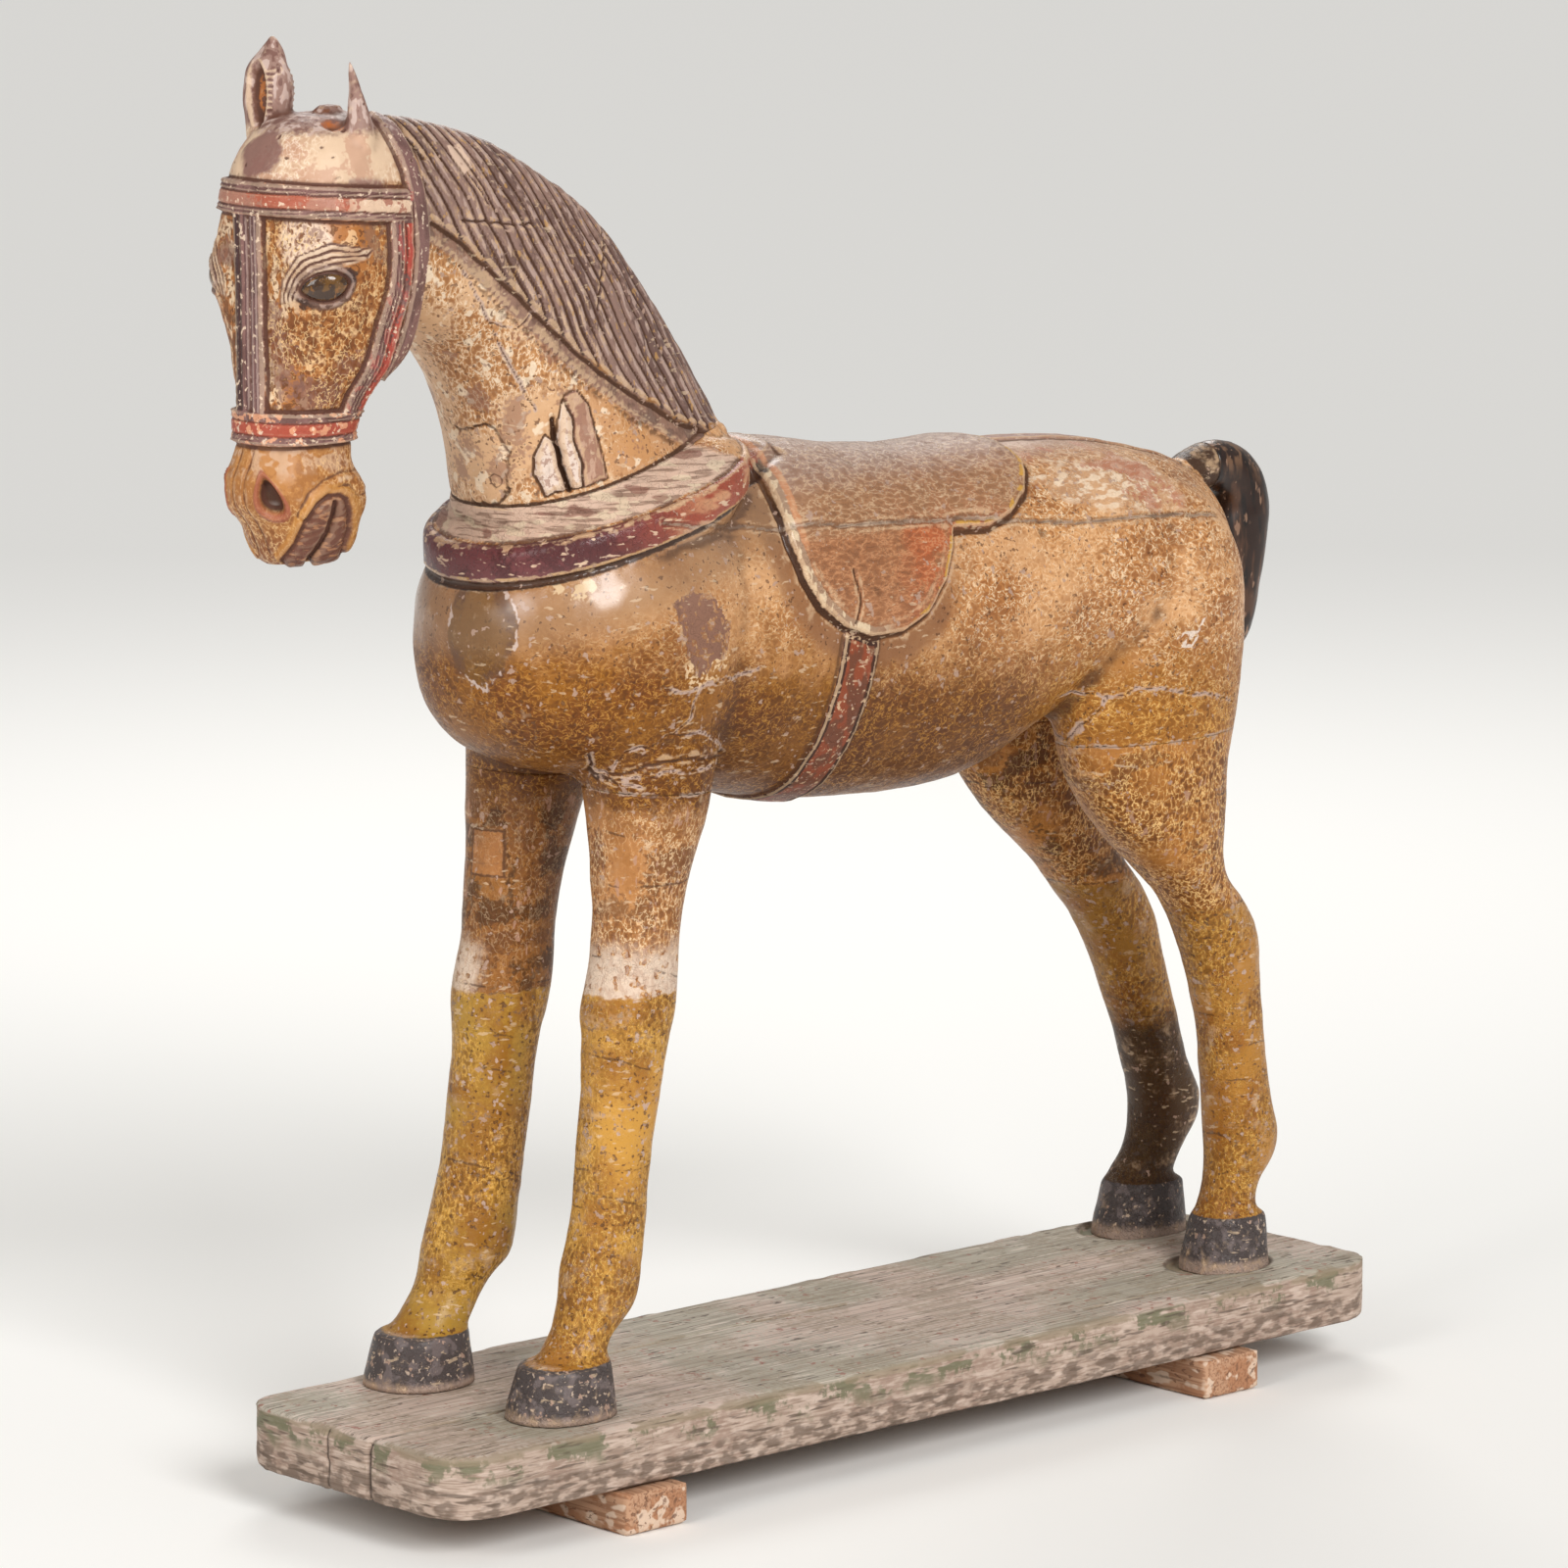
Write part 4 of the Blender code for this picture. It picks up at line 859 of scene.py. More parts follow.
def head_measures(x, y, z):
    """Distances from the lines of the bridle and the face; above 0 is inside."""
    side = np.abs(y)
    u = VIEW_X * x + VIEW_Y * side
    wander = 0.9 * lumps(x, y, z, 14, 21) + 0.4 * lumps(x, y, z, 5, 22)
    brow_level = z - BROW[1] + BROW[2] * (x - BROW[0])
    nose_level = z - NOSE[0]
    middle = np.minimum.reduce([CENTRE_HALF - side, nose_level, -brow_level, MIDDLE_BACK - x])
    brow = np.minimum(BROW[3] - np.abs(brow_level), BROW_END - x)
    nose = NOSE[1] - np.abs(nose_level)
    cheek = CHEEK_HALF - line_distance(x, z, CHEEK_STRAP)
    cheek = np.minimum.reduce([cheek, side - STRAPS_START, -brow_level + 12])
    throat = np.minimum(THROAT_HALF - line_distance(x, z, THROAT_STRAP), side - STRAPS_START)
    straps = np.maximum.reduce([brow, nose, middle, cheek, throat])
    made = SimpleNamespace(strap=straps + 0.4 * wander)
    line_x, line_z = zip(*reversed(CHEEK_STRAP))
    line_x = np.interp(z, line_z, line_x)
    kinds = [nose > 0, brow > 0, middle > 0, cheek > 0, throat > 0]
    levels = [nose_level, brow_level + 1, y + 22, line_x - x + 4, line_distance(x, z, THROAT_STRAP) + 10]
    made.level = np.select(kinds, levels, 40.0)
    made.kind = np.select(kinds, [1.0, 2.0, 3.0, 4.0, 5.0], 0.0)
    along = (x - EYE[0]) * math.cos(EYE_TURN) + (z - EYE[1]) * math.sin(EYE_TURN)
    up = -(x - EYE[0]) * math.sin(EYE_TURN) + (z - EYE[1]) * math.cos(EYE_TURN)
    ball = (np.abs(up) / EYE_HALF[1]) ** 1.5 + (np.abs(along) / EYE_HALF[0]) ** 2
    made.eye = np.where(side > EYE_SIDE, np.clip(ball, 0, FAR_ROUND), FAR_ROUND)
    inner = line_distance(u, z, BROW_INNER)
    outer = line_distance(u, z, BROW_OUTER)
    share = inner / np.maximum(inner + outer, 0.1) + 0.05 * lumps(x, y, z, 9, 28)
    between = inside_distance(u, z, BROW_OUTER + BROW_INNER[::-1])
    made.arch = np.where(side > FOLD_SIDE, between, FAR_INSIDE)
    made.fold = np.cos(2 * math.pi * 3.5 * share)
    rising = (z - NOSTRIL[1]) / NOSTRIL[3]
    level = (u - NOSTRIL[0] + 0.3 * (z - NOSTRIL[1])) / NOSTRIL[2]
    hole = np.hypot(level / np.clip(1 - 0.45 * rising, 0.4, 1.4), rising)
    made.nostril = np.where((x < -680) & (side > 8), hole, FAR_ROUND)
    made.lips = np.where(side > MOUTH_SIDE, inside_distance(u, z, LIP_LOOP), FAR_INSIDE)
    made.slit = line_distance(u, z, MOUTH_SLIT) + np.where(side > MOUTH_SIDE, 0.0, FAR_LINE)
    made.crease = line_distance(u, z, LIP_FOLD) + np.where(side > FOLD_SIDE, 0.0, FAR_LINE)
    across = VIEW_X * x - VIEW_Y * y
    hollow = np.hypot((across - EAR_HOLLOW[0]) / EAR_HOLLOW[2], (z - EAR_HOLLOW[1]) / EAR_HOLLOW[3])
    towards = -VIEW_Y * (x - EAR_MIDDLE[0]) - VIEW_X * (y - EAR_MIDDLE[1])
    made.inner_ear = np.where((y > 20) & (z > 1205) & (towards > -4), hollow, FAR_ROUND)
    return made


# One point on the cheek strap
CHEEK_POINT = np.array([[-600.0], [-80.0], [1080.0]])
print("the cheek's point is", head_measures(*CHEEK_POINT).strap.round(1), "mm inside its strap")


# %% Relief of straps and face
def strap_profile(m):
    """Each strap is a flat band between thin lines that are raised a little."""
    level = m.level
    wide = (m.kind == 1) | (m.kind == 2)
    lines = np.where(wide, rise(np.abs(level), 6.5, 1.5), rise(level, 1.0, 1.5) * (m.kind == 4))
    groove = np.where(wide, bell(np.abs(level) - 6.5, 1.2), bell(level, 1.2) * (m.kind == 4))
    centre = (m.kind == 3) * (bell(level - 20, 5.0) * 1.6 + bell(level - 33, 1.2))
    return 0.7 * lines * np.cos(2 * math.pi * level / 4.2) - 1.4 * groove - 1.2 * centre


def head_relief(x, y, z, m):
    """Height of the carving on the head, in millimetres."""
    side = np.abs(y)
    strap = m.strap
    on_strap = rise(strap, 0.6, 2.6)
    height = STRAP_PROUD * on_strap + 0.7 * bell(strap - 1.8, 1.3) - 0.9 * bell(strap + 1.6, 1.6)
    height += strap_profile(m) * on_strap
    eye = m.eye
    around = rise(side, 42.0, 48.0)
    out = (x - EYE[0]) / 42.0
    up = (z - EYE[1] - EYE_TURN * (x - EYE[0])) / 48.0
    height += 14.0 * np.exp(-(out**2) - up**2) * around
    ball = np.clip(1 - eye, 0, 1)
    height += around * (2.8 * bell(eye - 1.55, 0.34) - 2.6 * bell(eye - 1.08, 0.18) + 3.4 * np.sqrt(ball))
    folds = rise(m.arch, 0.0, 5.0)
    height += around * folds * (0.3 + 1.3 * m.fold)
    hole = m.nostril
    height += 1.6 * bell(hole - 1.14, 0.13) - 12.0 * rise(1 - hole, 0.05, 0.26)
    lips = m.lips
    height += 1.8 * bell(lips + 1.5, 3.4) - 2.2 * bell(lips - 3.4, 2.2) + 2.6 * rise(lips, 7.0, 8.0)
    height -= 8.5 * bell(m.slit, 2.6)
    height += 1.2 * bell(m.crease, 3.5) - 1.0 * bell(m.crease - 6.0, 2.2)
    ribs = rise(lips, 3.0, 2.0)
    height += 0.3 * ribs * np.sin(2 * math.pi * (z - 0.3 * x + 3 * lumps(x, y, z, 12, 27)) / 6.5)
    height -= 1.2 * bell(side - 8.0, 2.2) * rise(-z, -926, 6) * rise(-x, 690, 10)
    height -= 9.0 * rise(1.15 - m.inner_ear, 0.1, 0.5)
    ticks = (y > 30) & (z > 1222) & (z < 1262) & (VIEW_X * x - VIEW_Y * y > -508)
    height += 0.7 * ticks * np.sin(2 * math.pi * z / 5.5)
    height -= 7.0 * hump(x, y, z, EAR_BREAK, (9.0, 8.0, 12.0))
    panel = np.clip(1 - on_strap - rise(-eye, -2.8, 0.8) - folds, 0, 1)
    height += panel * (0.8 * lumps(x, y, z, 26, 23) + 0.45 * lumps(x, y, z, 10, 24))
    height += 0.25 * lumps(x, y, z, 5, 25) - 1.2
    pits = np.clip(lumps(x, y, z, 9, 26) - 0.66, 0, 1) * rise(z, 1166, 6)
    return height - 9.0 * pits


found = head_measures(*CHEEK_POINT)
print("and stands", head_relief(*CHEEK_POINT, found).round(1), "mm proud")

# %% [markdown]
# ## Cutting the relief into the skin
# Where a line runs the skin is split into smaller faces first, so that edges come out crisp
# without making the whole body heavy. The distances are then stored on the mesh for the paint,
# with three broad clouds of tone and two measures of how hollow the finished surface is, close by
# and in the large, so that the paint can darken the hollows, with dirt and painted shade, and wear
# off the edges.


# %% Reading and refining a mesh
def numbers(items, name, width, kind=float):
    """A value of every vertex, edge or face of a mesh, one row for each."""
    values = np.empty(len(items) * width, kind)
    items.foreach_get(name, values)
    return values.reshape(-1, width)


def arrays_of(mesh):
    """Places and outward directions of a mesh's vertices."""
    return numbers(mesh.vertices, "co", 3), numbers(mesh.vertices, "normal", 3)


def units_of(place):
    """x, y and z in carver's units."""
    return ((place - np.array(ZERO)) / MM).T


def refined(made, wanted):
    """Splits every edge of the faces whose middles are wanted."""
    mesh = made.data
    chosen = np.flatnonzero(wanted(*units_of(numbers(mesh.polygons, "center", 3))))
    bm = copy_of(made)
    bm.faces.ensure_lookup_table()
    edges = list({edge for i in chosen.tolist() for edge in bm.faces[i].edges})
    bmesh.ops.subdivide_edges(bm, edges=edges, cuts=1, use_grid_fill=True)
    bmesh.ops.triangulate(bm, faces=[f for f in bm.faces if len(f.verts) > 4])
    bm.to_mesh(mesh)
    bm.free()
    return made


print("vertices to carve", len(body.data.vertices), len(head.data.vertices))

# %% Carving and measuring
# Rounds of evening out, for hollows seen close by and in the large
CLOSE_ROUNDS = 4
LARGE_ROUNDS = 16
# Broad clouds of tone for the paint: their sizes in millimetres, names and seeds
MIST, DRIFT, CLOUD = 24.0, 42.0, 95.0
CLOUDS = {MIST: ("mist", 71), DRIFT: ("drift", 72), CLOUD: ("cloud", 73)}


def evened(place, edges, rounds):
    """Places after rounds of moving each vertex halfway to its neighbours' middle."""
    count = len(place)
    first, second = edges[:, 0], edges[:, 1]
    degree = np.bincount(edges.ravel(), minlength=count)[:, None]
    for _ in range(rounds):
        total = np.empty_like(place)
        for axis in range(3):
            values = place[:, axis]
            total[:, axis] = np.bincount(first, values[second], count)
            total[:, axis] += np.bincount(second, values[first], count)
        place = (place + total / np.maximum(degree, 1)) / 2
    return place


def carved(made, measures, relief):
    """Moves the skin by the relief and stores every measure, and the hollowness, on it."""
    mesh = made.data
    place, out = arrays_of(mesh)
    spot = units_of(place)
    found = measures(*spot)
    height = relief(*spot, found)
    place = place + out * height[:, None] * MM
    mesh.vertices.foreach_set("co", place.ravel())
    mesh.update()
    place, out = arrays_of(mesh)
    edges = numbers(mesh.edges, "vertices", 2, np.int32)
    fine = evened(place, edges, CLOSE_ROUNDS)
    broad = evened(fine, edges, LARGE_ROUNDS)
    found.hollow = ((fine - place) * out).sum(1) / MM
    found.sunk = ((broad - place) * out).sum(1) / MM
    for size, (name, seed) in CLOUDS.items():
        setattr(found, name, lumps(*spot, size, seed))
    for name, values in vars(found).items():
        layer = mesh.attributes.new(name, "FLOAT", "POINT")
        layer.data.foreach_set("value", np.asarray(values, np.float32))
    mesh.shade_smooth()
    return made


def near_body_lines(x, y, z):
    """Where the body needs small faces."""
    found = body_measures(x, y, z)
    near = (np.abs(found.saddle) < 7) | (np.abs(found.girth) < 5)
    near |= found.mane > -4
    near |= (found.crack < 4) | (found.wide < 8) | (found.filled < 4)
    near |= (np.abs(found.sliver) < 4) | (np.abs(found.block) < 4)
    near |= (np.abs(found.collar - 27) < 36) & (x < COLLAR_REACH[0]) & (z < COLLAR_REACH[1])
    hoof = (z < 62) & (z > 42)
    return near | hoof


refined(body, near_body_lines)
carved(body, body_measures, body_relief)
carved(head, head_measures, head_relief)
print("carved", len(body.data.polygons), len(head.data.polygons), round(time.time() - STARTED, 1), "s")

# %% [markdown]
# ## The joints
# The figure is glued up from blocks: head on neck, neck on trunk, four legs and the tail. The skin
# is cut along those same joints with planes, and each piece gets flat faces where it was glued.
# A joint is left 0.3 mm open, as it is between the solids in the frame.

# %% Cutting planes
HEAD_JOINT = ((-559, 1116), (-0.99, 0.13))
NECK_JOINT = ((-300, 884), (-0.242, 0.970))
TAIL_LOW = 590
# The level seams above the legs, and the walls that stand up from them
FRONT_WALL = -236
FRONT_LEVEL = 576
SEAM_FRONT = [(-460, 592), (FRONT_WALL, FRONT_LEVEL)]
REAR_WALL = 206
REAR_LEVEL = 560
SEAM_REAR = [(REAR_WALL, REAR_LEVEL), (700, REAR_LEVEL)]
REAR_POCKET = 6.0
GAP = JOINT_GAP / MM


def plane_of(point, direction):
    """A plane across the side view: a point and a unit direction."""
    (x, z), (out_x, out_z) = point, direction
    return ZERO + Vector((x, 0, z)) * MM, Vector((out_x, 0, out_z)).normalized()


def seam_plane(seam, lower=0.0):
    """The plane through a seam's two points, facing up."""
    (ax, az), (bx, bz) = seam
    return plane_of((ax, az - lower), (-(bz - az), bx - ax))


BACKWARD, UP, DOWN = (1, 0), (0, 1), (0, -1)
FRONT_SIDE = plane_of((FRONT_WALL, FRONT_LEVEL), BACKWARD)
REAR_SIDE = plane_of((REAR_WALL, REAR_LEVEL), (-1, 1))
TAIL_CUT = plane_of((TAIL_START, TAIL_LOW), BACKWARD)
NECK_CUT = plane_of(*NECK_JOINT)
HEAD_CUT = plane_of(*HEAD_JOINT)
print("seams at", FRONT_LEVEL, "and", REAR_LEVEL, "mm")

# %% Cutting and capping
# A cut takes in the vertices that lie this near to it
ON_CUT = 1e-7


def face_sides(bm, plane):
    """The faces in front of a plane."""
    point, out = plane
    return {f for f in bm.faces if (f.calc_center_median() - point).dot(out) > 0}


def capped(bm, edges):
    """Closes the holes along some edges with flat faces."""
    rim = [e for e in edges if e.is_valid and e.is_boundary]
    filled = bmesh.ops.holes_fill(bm, edges=rim, sides=0)["faces"]
    for face in filled:
        face.smooth = False
    bmesh.ops.triangulate(bm, faces=filled)


def kept_behind(bm, plane):
    """Cuts with a plane, removes what is in front of it and caps the cut."""
    point, out = plane
    geometry = bm.verts[:] + bm.edges[:] + bm.faces[:]
    where = {"plane_co": point, "plane_no": out, "dist": ON_CUT}
    bmesh.ops.bisect_plane(bm, geom=geometry, clear_outer=True, **where)
    capped(bm, bm.edges)


def opposite(plane, gap=0.0):
    """The same plane facing the other way, moved back by a gap."""
    point, out = plane
    return point + out * gap * MM, -out


def without_block(bm, first, second):
    """Removes what is behind both planes, with the second cut made only behind the first."""
    point, out = first
    geometry = bm.verts[:] + bm.edges[:] + bm.faces[:]
    bmesh.ops.bisect_plane(bm, geom=geometry, plane_co=point, plane_no=out, dist=ON_CUT)
    inner = [f for f in bm.faces if (f.calc_center_median() - point).dot(out) < 0]
    corners = list({v for f in inner for v in f.verts})
    geometry = corners + list({e for f in inner for e in f.edges}) + inner
    where = {"plane_co": second[0], "plane_no": second[1], "dist": ON_CUT}
    bmesh.ops.bisect_plane(bm, geom=geometry, **where)
    gone = list(set(bm.faces) - face_sides(bm, first) - face_sides(bm, second))
    bmesh.ops.delete(bm, geom=gone, context="FACES")
    capped(bm, bm.edges)


def cut_out(made, name, planes):
    """A new piece: what lies behind all the planes."""
    bm = copy_of(made)
    for plane in planes:
        kept_behind(bm, plane)
    return mesh_object(name, bm)


print("faces to cut", len(body.data.polygons))

# %% Trunk, neck and tail
bm = copy_of(body)
without_block(bm, FRONT_SIDE, seam_plane(SEAM_FRONT))
without_block(bm, REAR_SIDE, seam_plane(SEAM_REAR))
kept_behind(bm, TAIL_CUT)
kept_behind(bm, NECK_CUT)
trunk = mesh_object("trunk_carved", bm)
neck = cut_out(body, "neck_carved", (opposite(NECK_CUT, GAP), HEAD_CUT))
tail_end = plane_of((TAIL_START, TAIL_LOW), DOWN)
tail = cut_out(body, "tail_carved", (opposite(TAIL_CUT, GAP), tail_end))
print("trunk, neck and tail, faces", [len(made.data.polygons) for made in (trunk, neck, tail)])

# %% Legs
legs = {}
for end, planes, sole in (
    ("front", (FRONT_SIDE, seam_plane(SEAM_FRONT, GAP)), GAP),
    ("rear", (REAR_SIDE, plane_of((REAR_WALL, REAR_LEVEL - GAP), UP)), GAP - REAR_POCKET),
):
    for name, inwards in ((f"leg_{end}_left", 1), (f"leg_{end}_right", -1)):
        middle = ZERO, Vector((0, inwards, 0))
        ground = plane_of((0, sole), DOWN)
        legs[name] = cut_out(body, name + "_carved", (middle, *planes, ground))
print("legs, faces", [len(made.data.polygons) for made in legs.values()])

# %% Head
head_carved = cut_out(head, "head_carved", [opposite(HEAD_CUT, GAP)])
bpy.data.objects.remove(body)
bpy.data.objects.remove(head)
pieces = {"trunk": trunk, "neck": neck, "tail": tail, "head": head_carved, **legs}
for name, made in pieces.items():
    print(name, sum(len(f.vertices) - 2 for f in made.data.polygons), "triangles")

# %% [markdown]
# ## The board and its battens
# The board is one thick plank with round corners, worn and split along the grain. It is a bevelled
# block made into even faces, with cracks and grain cut into it and never built up, so that it
# stays inside its solid. Two pockets in the top let the rear hooves in.

# %% Measures and wear of the board
BOARD_X = ((BOARD_LOW[0] - ZERO.x) / MM, (BOARD_HIGH[0] - ZERO.x) / MM)
BOARD_HALF = BOARD_HIGH[1] / MM
BOARD_THICK = (BOARD_HIGH[2] - BOARD_LOW[2]) / MM
# Pockets for the rear hooves: x and y of the middle, half width and half length
POCKETS = [(482, -67, 47, 60), (533, 105, 50, 64)]
POCKET_SPARE = 0.4
# Places across the front end where it has split
END_SPLITS = (-38, 22)
# Splits in the top: x and y of their points
BOARD_SPLITS = [
    [(-620, -38), (-540, -36), (-470, -42), (-400, -39), (-330, -44)],
    [(-250, 60), (-60, 64), (80, 58)],
    [(240, -120), (380, -116), (520, -122)],
    [(330, 30), (480, 26), (640, 31)],
]


def board_measures(x, y, z):
    """Distances from the board's edges, splits and pockets."""
    wander = 2.0 * lumps(x / 6, y, z, 14, 41) + 0.8 * lumps(x / 3, y, z, 5, 42)
    made = SimpleNamespace(crack=nearest(x, y + wander, BOARD_SPLITS))
    made.rim = np.minimum.reduce([x - BOARD_X[0], BOARD_X[1] - x, BOARD_HALF - np.abs(y)])
    rooms = []
    for px, py, half, length in POCKETS:
        level = np.hypot((x - px) / length, (y - py) / half)
        rooms.append((1 - level) * half)
    made.pocket = np.maximum.reduce(rooms)
    return made


def board_relief(x, y, z, m):
    """Depth of the wear in the board, all below its own faces."""
    on_top = rise(z, -3.0, 3.0)
    grain = 0.35 * lumps(x / 22, y, z, 3.5, 43) + 0.5 * lumps(x / 14, y, z, 9, 44)
    height = -0.75 + 0.5 * grain
    height -= 1.4 * on_top * np.clip(lumps(x / 5, y, z, 22, 45) - 0.25, 0, 1)
    height -= (1 - on_top) * (0.8 + 0.7 * lumps(x / 3, y, z, 12, 46))
    height -= 5.0 * bell(m.crack, 1.7) * rise(z, -40, 30)
    edge = rise(-m.rim, -7.0, 8.0) * rise(z, -7.0, 8.0)
    height -= edge * (1.4 + 1.6 * np.clip(lumps(x, y, z, 18, 47), -0.6, 1))
    split = bell(y - END_SPLITS[0] + 3 * lumps(x, y, z, 14, 48), 1.8)
    split += 0.7 * bell(y - END_SPLITS[1] + 2 * lumps(x, y, z, 10, 49), 1.4)
    height -= 4.0 * rise(-x, 605.0, 8.0) * split
    return np.minimum(height, -0.05)


print("board from", [round(x, 1) for x in BOARD_X], "half width", round(BOARD_HALF, 1))

# %% Board
BOARD_CORNER = 55.0
EDGE_ROUND = 3.0
BOARD_VOXEL = 4.6 * MM


def block(low, high):
    """A bmesh box between two corners in carver's units."""
    bm = bmesh.new()
    low, high = Vector(low) * MM + ZERO, Vector(high) * MM + ZERO
    size = Matrix.Diagonal(Vector((*(high - low), 1.0)))
    bmesh.ops.create_cube(bm, size=1.0, matrix=Matrix.Translation((low + high) / 2) @ size)
    return bm


def rounded(bm, edges, width, steps):
    """Bevels the edges by a width in carver's units."""
    shape = {"profile": 0.5, "affect": "EDGES", "material": -1}
    bmesh.ops.bevel(bm, geom=edges, offset=width * MM, segments=steps, **shape)


def near_splits(x, y, z):
    """Where the board needs small faces."""
    found = board_measures(x, y, z)
    near = (found.crack < 5) & (z > -8)
    near |= (np.abs(found.pocket) < 5) & (z > -8)
    for place, half in zip(END_SPLITS, (8, 6)):
        near |= (x < -560) & (np.abs(y - place) < half)
    return near


bm = block((BOARD_X[0], -BOARD_HALF, -BOARD_THICK), (BOARD_X[1], BOARD_HALF, 0.0))
upright = [e for e in bm.edges if abs(e.verts[0].co.z - e.verts[1].co.z) > BOARD_THICK * MM / 2]
rounded(bm, upright, BOARD_CORNER, 12)
rims = list({e for f in bm.faces if abs(f.normal.z) > 0.9 for e in f.edges})
rounded(bm, rims, EDGE_ROUND, 3)
board = melted(mesh_object("board_worn", bm), BOARD_VOXEL, 1)
refined(board, near_splits)
carved(board, board_measures, board_relief)
place, out = arrays_of(board.data)
spot = units_of(place)
floor_of_pocket = -REAR_POCKET - POCKET_SPARE
inside = rise(board_measures(*spot).pocket, 1.0, 3.0) * rise(spot[2], -9.0, 3.0)
place[:, 2] += inside * np.minimum(floor_of_pocket - spot[2], 0) * MM
board.data.vertices.foreach_set("co", place.ravel())
pieces["base_board"] = board
print("board", len(board.data.polygons), "faces")

# %% Battens
BATTEN_VOXEL = 4.0 * MM


def batten_measures(x, y, z):
    """How far a point is along the saw marks."""
    return SimpleNamespace(crack=np.abs(lumps(x, y / 16, z, 9, 51)) * 12)


def batten_relief(x, y, z, m):
    """Saw marks across the batten and bruised edges, all cut in."""
    saw = 0.3 * lumps(x, y, z, 4, 52) * lumps(x / 3, y, z, 8, 53)
    return -0.8 + saw + 0.45 * lumps(x, y, z, 20, 54) - 0.8 * bell(m.crack, 0.9)


for name in ("batten_front", "batten_rear"):
    low, high = (units_of(np.array(corner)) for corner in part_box(name))
    bm = block(low, high)
    rounded(bm, bm.edges[:], EDGE_ROUND, 2)
    batten = melted(mesh_object(name + "_rough", bm), BATTEN_VOXEL, 1)
    carved(batten, batten_measures, batten_relief)
    pieces[name] = batten
print("batten", len(batten.data.polygons), "faces", round(time.time() - STARTED, 1), "s")

# %% [markdown]
# ## Old paint
# A finish is built up in coats, as the real one was: a ground colour, coats of paint over it, the
# varnish that has shrunk and crazed, then wear and dirt. Each coat is laid where a mask says so,
# and the masks come from the distances stored while carving, with ragged edges.

# %% Masks
# Sizes of the small grains in millimetres; the broad clouds are stored on the mesh
FLECK = 5.0
DAB = 9.0
PATCH = 16.0
# How far a grain's tones stray from their middle, 0.5, and a cloud's from 0
GRAIN_SPREAD = 0.34
CLOUD_SPREAD = 1.1
CLOUD_SOFTER = 5
# Four times a grain's tone strays by about 1, so that an amount can be given in millimetres
GRAIN_REACH = 4
# Strokes that run level and strokes that run upright, as stretches of a grain
LEVEL = (3, 3, 1)
UPRIGHT = (1, 1, 2)


